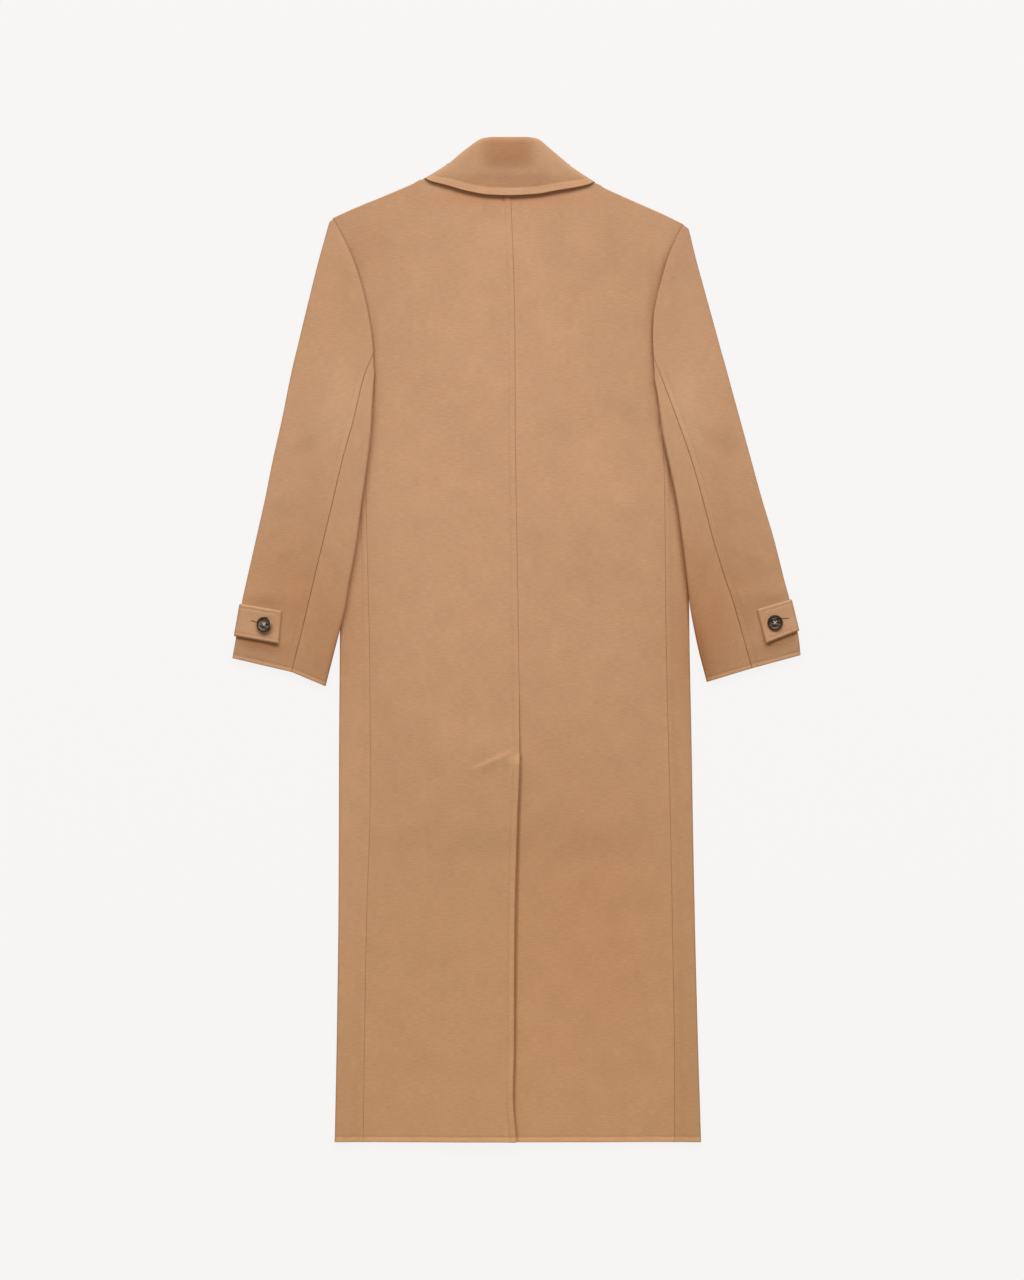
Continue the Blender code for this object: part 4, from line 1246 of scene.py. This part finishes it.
def collar_form(sizes):
    grid = fine_grid(collar_rows(), COLLAR_CELLS * sizes.cell)
    raised = flare(grid.right, sizes.collar_edge, sizes.collar_flare, sizes.groove)
    ends = smooth(np.minimum(grid.start, grid.end) / COLLAR_FADE)
    middle = (len(grid.points) // 2, -1)
    grain = (grid.start, grid.left)
    return form_of(grid, PLAIN_RIM, raised * ends, up_at=middle, grain=grain)


def tab_form(side, sizes):
    grid = fine_grid(tab_rows(side), TAB_CELLS * sizes.cell)
    from_edge = np.minimum(np.minimum(grid.start, grid.end), grid.left)
    raised = flare(from_edge, sizes.tab_edge, 0.0, sizes.groove)
    raised = raised + sizes.tab_puff * smooth(from_edge / CLOTH)
    free_end = sizes.tab_lift * (1 - smooth(grid.left / TAB_END_BEND))
    low_edge = sizes.tab_stand * (1 - smooth(grid.end / TAB_LOW_BEND))
    return form_of(grid, (CLOTH,) * 4, raised, free_end + low_edge)


# Finishes

WOOL_LOOKS = {
    "Roughness": 0.95,
    "Specular IOR Level": 0.08,
    "Subsurface Weight": 0.25,
    "Subsurface Radius": (1.0, 0.42, 0.20),
    "Subsurface Scale": 0.002,
    "Sheen Weight": 0.06,
    "Sheen Roughness": 0.45,
    "Sheen Tint": (1.0, 0.82, 0.62, 1.0),
}
# Noises: repeats to a metre, detail, and the share and base with which they are used. The locks
# of the nap and the horn's streaks are stretched first
Noise = namedtuple("Noise", "scale detail share base")
LOCKS = Noise(1.0, 3.0, 1.0, -0.5)
FIBRES = Noise(1400.0, 2.0, 0.7, -0.35)
MOTTLE = Noise(28.0, 2.0, 0.5, -0.25)
TWISTS = Noise(2200.0, 2.0, 0.5, 0.75)
STREAKS = Noise(1.0, 4.0, 0.30, 0.26)
FLOOR_CLOUDS = Noise(1.5, 2.0, 0.01, 0.995)
HORN_SCALE = (90.0, 420.0, 90.0)
HORN_TURN = 0.5
HORN_STOPS = (0.42, 0.70, 0.95)
Bump = namedtuple("Bump", "strength distance")
WOOL_BUMP = Bump(0.35, 0.0004)
THREAD_BUMP = Bump(0.4, 0.0002)
HORN_BUMP = Bump(0.12, 0.0003)


def fill(tree, node, inputs):
    """Links a node's inputs to sockets, or sets them to values."""
    for key, value in inputs.items():
        if isinstance(value, bpy.types.NodeSocket):
            tree.links.new(value, node.inputs[key])
        else:
            node.inputs[key].default_value = value


def add_node(tree, kind, inputs, **settings):
    node = tree.nodes.new(kind)
    for key, value in settings.items():
        setattr(node, key, value)
    fill(tree, node, inputs)
    return node


def new_group(name, kind, inputs, outputs):
    """A node group with its sockets, each input a kind with or without a default."""
    tree = bpy.data.node_groups.new(name, kind)
    for key, (socket, *default) in inputs.items():
        made = tree.interface.new_socket(key, in_out="INPUT", socket_type="NodeSocket" + socket)
        if default:
            made.default_value = default[0]
    for key, socket in outputs.items():
        tree.interface.new_socket(key, in_out="OUTPUT", socket_type="NodeSocket" + socket)
    return tree, tree.nodes.new("NodeGroupInput").outputs, tree.nodes.new("NodeGroupOutput")


def new_material(name):
    material = bpy.data.materials.new(name)
    material.use_nodes = True
    return material, material.node_tree, material.node_tree.nodes["Principled BSDF"]


def math_node(tree, operation, a, b):
    return add_node(tree, "ShaderNodeMath", {0: a, 1: b}, operation=operation).outputs[0]


def noise(tree, place, kind):
    inputs = {"Vector": place, "Scale": kind.scale, "Detail": kind.detail}
    return add_node(tree, "ShaderNodeTexNoise", inputs).outputs["Fac"]


def spread(tree, value, share, base):
    """A base with a share of a value added."""
    return math_node(tree, "ADD", math_node(tree, "MULTIPLY", value, share), base)


def spread_noise(tree, place, kind):
    return spread(tree, noise(tree, place, kind), kind.share, kind.base)


def object_place(tree):
    return add_node(tree, "ShaderNodeTexCoord", {}).outputs["Object"]


def scaled_colour(tree, plain, factor):
    """A plain colour multiplied by a factor that changes over the surface."""
    inputs = {0: plain, "Scale": factor}
    return add_node(tree, "ShaderNodeVectorMath", inputs, operation="SCALE").outputs[0]


def bumped(tree, height, bump):
    inputs = {"Height": height, "Strength": bump.strength, "Distance": bump.distance}
    return add_node(tree, "ShaderNodeBump", inputs).outputs["Normal"]


def nap_group():
    """Brushed wool: locks that lie across the piece, loose fibres and soft mottling."""
    found = bpy.data.node_groups.get("Brushed nap")
    if found:
        return found
    inputs = {
        "Place": ("Vector",),
        "Grain Length": ("Float", 0.009),
        "Grain Width": ("Float", 0.0016),
        "Depth": ("Float", 0.1),
    }
    outputs = {"Shade": "Float", "Fibre": "Float"}
    tree, entry, leave = new_group("Brushed nap", "ShaderNodeTree", inputs, outputs)
    split = add_node(tree, "ShaderNodeSeparateXYZ", {0: entry["Place"]}).outputs
    run = math_node(tree, "DIVIDE", split["X"], entry["Grain Length"])
    rise = math_node(tree, "DIVIDE", split["Y"], entry["Grain Width"])
    lock_place = add_node(tree, "ShaderNodeCombineXYZ", {"X": run, "Y": rise}).outputs[0]
    locks = spread_noise(tree, lock_place, LOCKS)
    fibre = math_node(tree, "ADD", locks, spread_noise(tree, entry["Place"], FIBRES))
    total = math_node(tree, "ADD", fibre, spread_noise(tree, entry["Place"], MOTTLE))
    fill(tree, leave, {"Shade": spread(tree, total, entry["Depth"], 1.0), "Fibre": fibre})
    return tree


def wool(finish):
    """Camel wool with a short brushed nap, its colour multiplied by each piece's painted light and
    shade.
    """
    found = bpy.data.materials.get("camel_wool_nap")
    if found:
        return found
    material, tree, shader = new_material("camel_wool_nap")
    inputs = {
        "Place": add_node(tree, "ShaderNodeUVMap", {}, uv_map="Grain").outputs["UV"],
        "Grain Length": finish.grain_length,
        "Grain Width": finish.grain_width,
        "Depth": finish.grain_depth,
    }
    nap = add_node(tree, "ShaderNodeGroup", inputs, node_tree=nap_group()).outputs
    # Painted light and shade, read from each piece's points
    painted = add_node(tree, "ShaderNodeAttribute", {}, attribute_name="painted_light_and_shade").outputs["Color"]
    shaded = {0: painted, 1: scaled_colour(tree, finish.camel, nap["Shade"])}
    painted_colour = add_node(tree, "ShaderNodeVectorMath", shaded, operation="MULTIPLY").outputs[0]
    fill(tree, shader, {"Base Color": painted_colour, "Normal": bumped(tree, nap["Fibre"], WOOL_BUMP)})
    fill(tree, shader, WOOL_LOOKS)
    return material


def thread_material(name, plain):
    """Twisted sewing thread."""
    material, tree, shader = new_material(name)
    strands = noise(tree, object_place(tree), TWISTS)
    shade = spread(tree, strands, TWISTS.share, TWISTS.base)
    looks = {
        "Base Color": scaled_colour(tree, plain, shade),
        "Normal": bumped(tree, strands, THREAD_BUMP),
        "Roughness": 0.75,
    }
    fill(tree, shader, looks)
    return material


def horn(finish):
    """Dark polished horn with lighter streaks, which show by a share kept at each point of a button;
    its palest colour is a painted reflection.
    """
    material, tree, shader = new_material("dark_horn_polished")
    inputs = {
        "Vector": object_place(tree),
        "Rotation": (0.0, 0.0, HORN_TURN),
        "Scale": HORN_SCALE,
    }
    stretch = add_node(tree, "ShaderNodeMapping", inputs).outputs[0]
    streaks = noise(tree, stretch, STREAKS)
    streak_and_glint = add_node(tree, "ShaderNodeAttribute", {}, attribute_name="streak_and_glint").outputs["Fac"]
    shown = math_node(tree, "MULTIPLY", streaks, streak_and_glint)
    ramp = add_node(tree, "ShaderNodeValToRGB", {"Fac": shown})
    stops = ramp.color_ramp.elements
    stops[0].position, stops[1].position, palest = HORN_STOPS
    stops[0].color = (*finish.horn_dark, 1.0)
    stops[1].color = (*finish.horn_light, 1.0)
    stops.new(palest).color = (*finish.horn_glint, 1.0)
    looks = {
        "Base Color": ramp.outputs["Color"],
        "Normal": bumped(tree, streaks, HORN_BUMP),
        "Roughness": spread(tree, streaks, STREAKS.share, STREAKS.base),
        "Specular IOR Level": 0.32,
        "Coat Weight": 0.12,
    }
    fill(tree, shader, looks)
    return material


# Sewing and buttons

# Buttonholes from the button's stem to their far end
Buttonhole = namedtuple("Buttonhole", "x0 y0 x1 y1")
BUTTONHOLES = {
    "left": Buttonhole(-0.3250, 0.0190, -0.3439, 0.0251),
    "right": Buttonhole(0.3340, 0.0270, 0.3536, 0.0283),
}
HOLE_STEPS = 12
# From stitch to stitch of a buttonhole, as a share of its thread
HOLE_PITCH = 0.7
# A button's section in shares of its radius and thickness, from its back to its sunk middle
Turn = namedtuple("Turn", "radius height")
BUTTON_PROFILE = (
    Turn(0.66, 0.0),
    Turn(0.74, 0.02),
    Turn(0.90, 0.14),
    Turn(0.98, 0.30),
    Turn(1.0, 0.48),
    Turn(0.99, 0.72),
    Turn(0.96, 0.90),
    Turn(0.91, 0.98),
    Turn(0.86, 1.0),
    Turn(0.81, 0.98),
    Turn(0.76, 0.90),
    Turn(0.70, 0.78),
    Turn(0.62, 0.71),
    Turn(0.50, 0.68),
)
PROFILE_SIDES = 48
SHARP_ANGLE = math.radians(40)
# How far a cuff button leans, and the line about which it does
Lean = namedtuple("Lean", "angle x y")
BUTTON_LEANS = {
    "cuff_button_left": Lean(0.22, -0.5, -0.87),
    "cuff_button_right": Lean(0.05, 0.6, -0.8),
}
# How much of the horn's streaks shows on a button's rim, and where the rim begins
RIM_STREAKS = 0.72
RIM_FROM = 0.66
RIM_FADE = 0.18
# Buttons whose rim has a painted reflection as a pale streak, which way it lies, and how it fades
# round and across the rim
GLINT_BUTTONS = ("cuff_button_left",)
GLINT_TURN = 0.35
GLINT_ROUND = 0.70
GLINT_ROUND_FADE = 0.20
GLINT_ACROSS = 0.80
GLINT_ACROSS_FADE = 0.10
HOLES = 4
HOLE_RADIUS = 0.0011
HOLE_SPREAD = 0.22
HOLE_SIDES = 12
# Strands through a button's holes: their foot and their rises in shares of its thickness
STRAND_SIDES = 8
STRAND_STEPS = 10
STRAND_FOOT = 0.45
STRAND_RISES = (0.30, 0.43)


def stitch_tree():
    """Short thread stitches set along a path."""
    found = bpy.data.node_groups.get("Hand stitches")
    if found:
        return found
    inputs = {
        "Geometry": ("Geometry",),
        "Pitch": ("Float", 0.0048),
        "Length": ("Float", 0.0022),
        "Thread": ("Float", 0.0004),
        "Slant": ("Float", 1.0),
        "Uneven": ("Float", 0.25),
        "Seed": ("Int", 7),
        "Material": ("Material",),
    }
    outputs = {"Geometry": "Geometry"}
    tree, entry, leave = new_group("Hand stitches", "GeometryNodeTree", inputs, outputs)

    def step(kind, inputs, **settings):
        return add_node(tree, kind, inputs, **settings).outputs

    curve = step("GeometryNodeMeshToCurve", {"Mesh": entry["Geometry"]})["Curve"]
    upright = step("GeometryNodeSetCurveNormal", {"Curve": curve}, mode="Z_UP")["Curve"]
    run = {"Curve": upright, "Length": entry["Pitch"]}
    spots = step("GeometryNodeCurveToPoints", run, mode="LENGTH")
    bead = step("GeometryNodeMeshUVSphere", {"Segments": 6, "Rings": 4, "Radius": 0.5})["Mesh"]
    thick = {"X": entry["Thread"], "Y": entry["Thread"], "Z": entry["Length"]}
    size = step("ShaderNodeCombineXYZ", thick)[0]
    turn = step("ShaderNodeCombineXYZ", {"Y": entry["Slant"]})[0]
    shape = {"Geometry": bead, "Scale": size, "Rotation": turn}
    stitch = step("GeometryNodeTransform", shape)["Geometry"]
    vary = add_node(tree, "FunctionNodeRandomValue", {"Seed": entry["Seed"]}, data_type="FLOAT")
    least, most = [place for place in vary.inputs if place.type == "VALUE"][:2]
    tree.links.new(math_node(tree, "SUBTRACT", 1.0, entry["Uneven"]), least)
    most.default_value = 1.0
    scale = next(place for place in vary.outputs if place.type == "VALUE" and place.enabled)
    row = {
        "Points": spots["Points"],
        "Rotation": spots["Rotation"],
        "Instance": stitch,
        "Scale": scale,
    }
    placed = step("GeometryNodeInstanceOnPoints", row)["Instances"]
    real = step("GeometryNodeRealizeInstances", {"Geometry": placed})["Geometry"]
    coloured = {"Geometry": real, "Material": entry["Material"]}
    fill(tree, leave, {"Geometry": step("GeometryNodeSetMaterial", coloured)["Geometry"]})
    return tree


def settled(carrier, *helpers):
    """The plain mesh that an object's modifier makes; the object and its helpers go."""
    graph = bpy.context.evaluated_depsgraph_get()
    data = bpy.data.meshes.new_from_object(carrier.evaluated_get(graph))
    for spent in (carrier, *helpers):
        bpy.data.objects.remove(spent)
    data.shade_smooth()
    return data


def stitches(name, paths, material, **inputs):
    """Stitches along every path, as one plain mesh."""
    points = []
    edges = []
    for path in paths:
        first = len(points)
        points += [tuple(point) for point in path]
        edges += [(k, k + 1) for k in range(first, len(points) - 1)]
    guide = bpy.data.meshes.new(name + "_path")
    guide.from_pydata(points, edges, [])
    carrier = add_object(name + "_path", guide)
    tree = stitch_tree()
    sockets = [item for item in tree.interface.items_tree if item.in_out == "INPUT"]
    named = {item.name: item.identifier for item in sockets}
    modifier = carrier.modifiers.new("stitches", "NODES")
    modifier.node_group = tree
    modifier[named["Material"]] = material
    for key, value in inputs.items():
        modifier[named[key.capitalize()]] = value
    data = settled(carrier)
    data.name = name
    if not data.polygons:
        raise RuntimeError(f"{name} has no stitches")
    made = add_piece(name, data, material)
    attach(made, BODY_NAME)


def seam_paths(sizes):
    """Lines of hand stitching, read off the cloth's own rims."""
    left = back_form("left", sizes).outer[:, STITCH_COLUMN]
    paths = [left[left[:, 1] > VENT_TOP_Y]]
    for side in SIDES:
        paths.append(side_form(side, sizes).outer[:, STITCH_COLUMN])
        paths.append(upper_sleeve_form(side, sizes).outer[:, STITCH_COLUMN])
    return paths


def buttonhole_path(side, sizes):
    """A buttonhole's slit on the upper face of a tab."""
    form = tab_form(side, sizes)
    upper = form.outer[form.grid.left < form.grid.right]
    hole = BUTTONHOLES[side]
    path = []
    for k in range(HOLE_STEPS + 1):
        place = Vector((hole.x0, hole.y0)).lerp(Vector((hole.x1, hole.y1)), k / HOLE_STEPS)
        far = np.hypot(upper[:, 0] - place.x, upper[:, 1] - place.y)
        path.append(lifted(place, upper[far.argmin()][2]))
    return path


def ring(centre, ahead, aside, radius, sides):
    """Points of a circle about a centre."""
    found = []
    for k in range(sides):
        angle = 2 * math.pi * k / sides
        found.append(centre + (ahead * math.cos(angle) + aside * math.sin(angle)) * radius)
    return found


def add_tube(mesh, rings):
    """A skin over rings of points, closed at both ends."""
    rows = [[mesh.verts.new(point) for point in points] for points in rings]
    for low, high in zip(rows, rows[1:]):
        for k in range(len(low)):
            n = (k + 1) % len(low)
            mesh.faces.new((low[k], low[n], high[n], high[k]))
    mesh.faces.new(rows[0][::-1])
    mesh.faces.new(rows[-1])


def as_data(name, mesh):
    bmesh.ops.recalc_face_normals(mesh, faces=mesh.faces)
    data = bpy.data.meshes.new(name)
    mesh.to_mesh(data)
    mesh.free()
    return data


def hole_places(radius):
    out = radius * HOLE_SPREAD + HOLE_RADIUS
    turns = [2 * math.pi * (k + 0.5) / HOLES for k in range(HOLES)]
    return [Vector((math.cos(angle), math.sin(angle), 0.0)) * out for angle in turns]


def button_disc(radius):
    """A turned button with a raised rim and a sunk middle."""
    across = Vector((1.0, 0.0, 0.0))
    along = Vector((0.0, 1.0, 0.0))
    rings = []
    for turn in BUTTON_PROFILE:
        centre = UP * (turn.height * BUTTON_THICK)
        rings.append(ring(centre, across, along, turn.radius * radius, PROFILE_SIDES))
    mesh = bmesh.new()
    add_tube(mesh, rings)
    return add_object("disc", as_data("disc", mesh))


def hole_cutter(radius):
    mesh = bmesh.new()
    for place in hole_places(radius):
        made = bmesh.ops.create_cone(
            mesh,
            cap_ends=True,
            segments=HOLE_SIDES,
            radius1=HOLE_RADIUS,
            radius2=HOLE_RADIUS,
            depth=3 * BUTTON_THICK,
        )
        bmesh.ops.translate(mesh, verts=made["verts"], vec=place)
    return add_object("holes", as_data("holes", mesh))


def button_mesh(radius, glint_share):
    """A button with four holes, and with a painted reflection on its rim, a pale streak, by that
    share.
    """
    disc = button_disc(radius)
    cutter = hole_cutter(radius)
    disc.modifiers.new("holes", "BOOLEAN").object = cutter
    data = settled(disc, cutter)
    data.set_sharp_from_angle(angle=SHARP_ANGLE)
    streak_and_glint = data.attributes.new("streak_and_glint", "FLOAT", "POINT")
    for vertex, value in zip(data.vertices, streak_and_glint.data):
        out = vertex.co.xy.length / radius
        rim = smooth((out - RIM_FROM) / RIM_FADE)
        # Painted reflection: a pale streak on one side of the rim
        towards = math.cos(math.atan2(vertex.co.y, vertex.co.x) - GLINT_TURN)
        glint = smooth((towards - GLINT_ROUND) / GLINT_ROUND_FADE)
        glint = glint * smooth((out - GLINT_ACROSS) / GLINT_ACROSS_FADE)
        value.value = mix(1.0, RIM_STREAKS, rim) + glint_share * glint
    return data


def strand_rings(start, stop, rise, radius):
    """A short thread that arches from one hole to another and dips into both."""
    run = stop - start
    aside = Vector((-run.y, run.x, 0.0)).normalized()
    rings = []
    for k in range(STRAND_STEPS + 1):
        share = k / STRAND_STEPS
        centre = start.lerp(stop, share) + UP * (rise * (1 - (2 * share - 1) ** 4))
        rings.append(ring(centre, aside, UP, radius, STRAND_SIDES))
    return rings


def cross_mesh(radius, twist):
    """Two strands crossed over the middle of a button."""
    mesh = bmesh.new()
    holes = [place + UP * (STRAND_FOOT * BUTTON_THICK) for place in hole_places(radius)]
    for k, rise in enumerate(STRAND_RISES):
        add_tube(mesh, strand_rings(holes[k], holes[k + 2], rise * BUTTON_THICK, twist / 2))
    data = as_data("cross", mesh)
    data.shade_smooth()
    return data


def button_place(node, sizes):
    """A button's radius, and where it lies: face down under a front, or leaning on a cuff tab."""
    low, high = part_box(node)
    radius = (high.x - low.x) / 2
    place = Matrix.Translation(((low.x + high.x) / 2, (low.y + high.y) / 2, low.z))
    if node.startswith("front"):
        face_down = Matrix.Rotation(math.pi, 4, "X")
        return radius, place @ Matrix.Translation((0, 0, BUTTON_THICK)) @ face_down
    lean = BUTTON_LEANS[node]
    lift = sizes.tab_puff + radius * math.sin(lean.angle)
    leaning = Matrix.Rotation(lean.angle, 4, Vector((lean.x, lean.y, 0.0)))
    return radius, place @ Matrix.Translation((0, 0, lift)) @ leaning


# Stage: how far the floor reaches and lies below the coat, and the light's size and place

FLOOR_REACH = 40.0
FLOOR_CORNERS = ((-1, -1), (1, -1), (1, 1), (-1, 1))
FLOOR_DROP = 0.0003
LAMP_SIZE = (9.0, 2.6)
LAMP_PLACE = (0.0, 5.4, 5.0)
SENSOR = 36.0


def lay_floor(stage):
    data = bpy.data.meshes.new("floor")
    corners = [(x * FLOOR_REACH, y * FLOOR_REACH, -FLOOR_DROP) for x, y in FLOOR_CORNERS]
    data.from_pydata(corners, [], [(0, 1, 2, 3)])
    material, tree, shader = new_material("pale_floor")
    shade = spread_noise(tree, object_place(tree), FLOOR_CLOUDS)
    matt = [(1 - stage.floor_glow) * value for value in stage.floor]
    looks = {
        "Base Color": scaled_colour(tree, matt, shade),
        "Roughness": 0.9,
        "Specular IOR Level": 0.0,
        "Emission Color": (*stage.floor, 1.0),
        "Emission Strength": stage.floor_glow,
    }
    fill(tree, shader, looks)
    floor = add_piece("floor", data, material)
    floor.visible_diffuse = False


def hang_lights(scene, stage):
    scene.world = bpy.data.worlds.new("soft_light")
    scene.world.use_nodes = True
    tree = scene.world.node_tree
    light = {"Color": (*stage.fill_tint, 1.0), "Strength": stage.fill}
    fill(tree, tree.nodes["Background"], light)
    lamp = bpy.data.lights.new("key", "AREA")
    lamp.shape = "RECTANGLE"
    lamp.size, lamp.size_y = LAMP_SIZE
    lamp.energy = stage.key
    key = add_object("key", lamp)
    key.location = LAMP_PLACE
    key.rotation_euler = (-key.location).to_track_quat("-Z", "Y").to_euler()


def set_camera(scene, stage):
    lens = bpy.data.cameras.new("above")
    lens.sensor_fit = "VERTICAL"
    lens.sensor_height = SENSOR
    lens.lens = SENSOR * stage.distance / stage.frame_height
    scene.camera = add_object("above", lens)
    scene.camera.location = (stage.centre_x, 0.0, stage.distance)


# Operators


def settings(context):
    return context.scene.coat_sizes, context.scene.coat_finish


class COAT_OT_backs(bpy.types.Operator):
    """Two back panels; the left laps over the right at the centre seam and the vent"""

    bl_idname = "coat.backs"
    bl_label = "Backs"

    def execute(self, context):
        sizes, finish = settings(context)
        for side in SIDES:
            cloth_piece(f"back_{side}", back_form(side, sizes), finish)
        return {"FINISHED"}


class COAT_OT_sides(bpy.types.Operator):
    """Side panels folded round the sides of the body"""

    bl_idname = "coat.sides"
    bl_label = "Sides"

    def execute(self, context):
        sizes, finish = settings(context)
        for side in SIDES:
            cloth_piece(f"side_{side}", side_form(side, sizes), finish)
        return {"FINISHED"}


class COAT_OT_fronts(bpy.types.Operator):
    """Fronts and their turned-back lapels, face down"""

    bl_idname = "coat.fronts"
    bl_label = "Fronts and lapels"

    def execute(self, context):
        sizes, finish = settings(context)
        for side in SIDES:
            cloth_piece(f"front_{side}", front_form(side, sizes), finish)
            cloth_piece(f"lapel_{side}", lapel_form(side, sizes), finish)
        return {"FINISHED"}


class COAT_OT_sleeves(bpy.types.Operator):
    """Sleeves of two pieces, laid along the body"""

    bl_idname = "coat.sleeves"
    bl_label = "Sleeves"

    def execute(self, context):
        sizes, finish = settings(context)
        for side in SIDES:
            upper = upper_sleeve_form(side, sizes)
            cloth_piece(f"upper_sleeve_{side}", upper, finish)
            under = under_sleeve_form(side, sizes)
            cloth_piece(f"under_sleeve_{side}", under, finish)
        return {"FINISHED"}


class COAT_OT_collar(bpy.types.Operator):
    """Collar from its stand over the roll to the fall"""

    bl_idname = "coat.collar"
    bl_label = "Collar"

    def execute(self, context):
        sizes, finish = settings(context)
        cloth_piece("collar", collar_form(sizes), finish)
        return {"FINISHED"}


class COAT_OT_tabs(bpy.types.Operator):
    """Cuff tabs that wrap the sleeves' outer edges"""

    bl_idname = "coat.tabs"
    bl_label = "Cuff tabs"

    def execute(self, context):
        sizes, finish = settings(context)
        for side in SIDES:
            cloth_piece(f"cuff_tab_{side}", tab_form(side, sizes), finish)
        return {"FINISHED"}


class COAT_OT_buttonholes(bpy.types.Operator):
    """Buttonholes of the cuff tabs, worked with thread across the slit"""

    bl_idname = "coat.buttonholes"
    bl_label = "Buttonholes"

    def execute(self, context):
        sizes, finish = settings(context)
        stitches(
            "buttonhole_stitches",
            [buttonhole_path(side, sizes) for side in SIDES],
            thread_material("buttonhole_thread", finish.hole_thread),
            pitch=HOLE_PITCH * sizes.thread,
            length=sizes.hole_width,
            thread=sizes.thread,
            slant=math.pi / 2,
        )
        return {"FINISHED"}


class COAT_OT_buttons(bpy.types.Operator):
    """Horn buttons, each held by a cross of thread"""

    bl_idname = "coat.buttons"
    bl_label = "Buttons"

    def execute(self, context):
        sizes, finish = settings(context)
        polished = horn(finish)
        thread = thread_material("button_thread", finish.button_thread)
        for node in sorted(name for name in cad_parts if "button" in name):
            radius, place = button_place(node, sizes)
            disc = button_mesh(radius, float(node in GLINT_BUTTONS))
            disc.transform(place)
            made = add_piece(node + "_horn", disc, polished)
            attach(made, BODY_NAME)
            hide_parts(node)
            cross = cross_mesh(radius, sizes.twist)
            cross.transform(place)
            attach(add_piece(node + "_thread", cross, thread), BODY_NAME)
        return {"FINISHED"}


class COAT_OT_sewing(bpy.types.Operator):
    """Hand stitches along the lapped seams"""

    bl_idname = "coat.sewing"
    bl_label = "Sewing"

    def execute(self, context):
        sizes, finish = settings(context)
        stitches(
            "seam_stitches",
            seam_paths(sizes),
            thread_material("seam_thread", finish.seam_thread),
            pitch=sizes.stitch_pitch,
            length=sizes.stitch_length,
            thread=sizes.thread,
        )
        return {"FINISHED"}


class COAT_OT_stage(bpy.types.Operator):
    """Pale floor, soft light from beyond the collar and a camera straight above"""

    bl_idname = "coat.stage"
    bl_label = "Stage"

    def execute(self, context):
        stage = context.scene.coat_stage
        lay_floor(stage)
        hang_lights(context.scene, stage)
        set_camera(context.scene, stage)
        context.scene.view_settings.view_transform = "Standard"
        return {"FINISHED"}


class COAT_PT_build(bpy.types.Panel):
    """Builds the coat piece by piece"""

    bl_label = "Coat"
    bl_idname = "COAT_PT_build"
    bl_space_type = "VIEW_3D"
    bl_region_type = "UI"
    bl_category = "Coat"

    def draw(self, context):
        for operator in OPERATORS:
            self.layout.operator(operator.bl_idname)
        for name, group in GROUPS.items():
            for size in group.__annotations__:
                self.layout.prop(getattr(context.scene, name), size)


OPERATORS = (
    COAT_OT_backs,
    COAT_OT_sides,
    COAT_OT_fronts,
    COAT_OT_sleeves,
    COAT_OT_collar,
    COAT_OT_tabs,
    COAT_OT_buttonholes,
    COAT_OT_buttons,
    COAT_OT_sewing,
    COAT_OT_stage,
)
GROUPS = {"coat_sizes": CoatSizes, "coat_finish": CoatFinish, "coat_stage": CoatStage}


def register():
    for group in GROUPS.values():
        bpy.utils.register_class(group)
    for operator in OPERATORS:
        bpy.utils.register_class(operator)
    bpy.utils.register_class(COAT_PT_build)
    for name, group in GROUPS.items():
        setattr(bpy.types.Scene, name, bpy.props.PointerProperty(type=group))


def unregister():
    for name in GROUPS:
        delattr(bpy.types.Scene, name)
    bpy.utils.unregister_class(COAT_PT_build)
    for operator in reversed(OPERATORS):
        bpy.utils.unregister_class(operator)
    for group in reversed(GROUPS.values()):
        bpy.utils.unregister_class(group)


def main():
    register()
    bpy.ops.coat.backs()
    bpy.ops.coat.sides()
    bpy.ops.coat.fronts()
    bpy.ops.coat.sleeves()
    bpy.ops.coat.collar()
    bpy.ops.coat.tabs()
    bpy.ops.coat.buttonholes()
    bpy.ops.coat.buttons()
    bpy.ops.coat.sewing()
    bpy.ops.coat.stage()


if __name__ == "__main__":
    main()
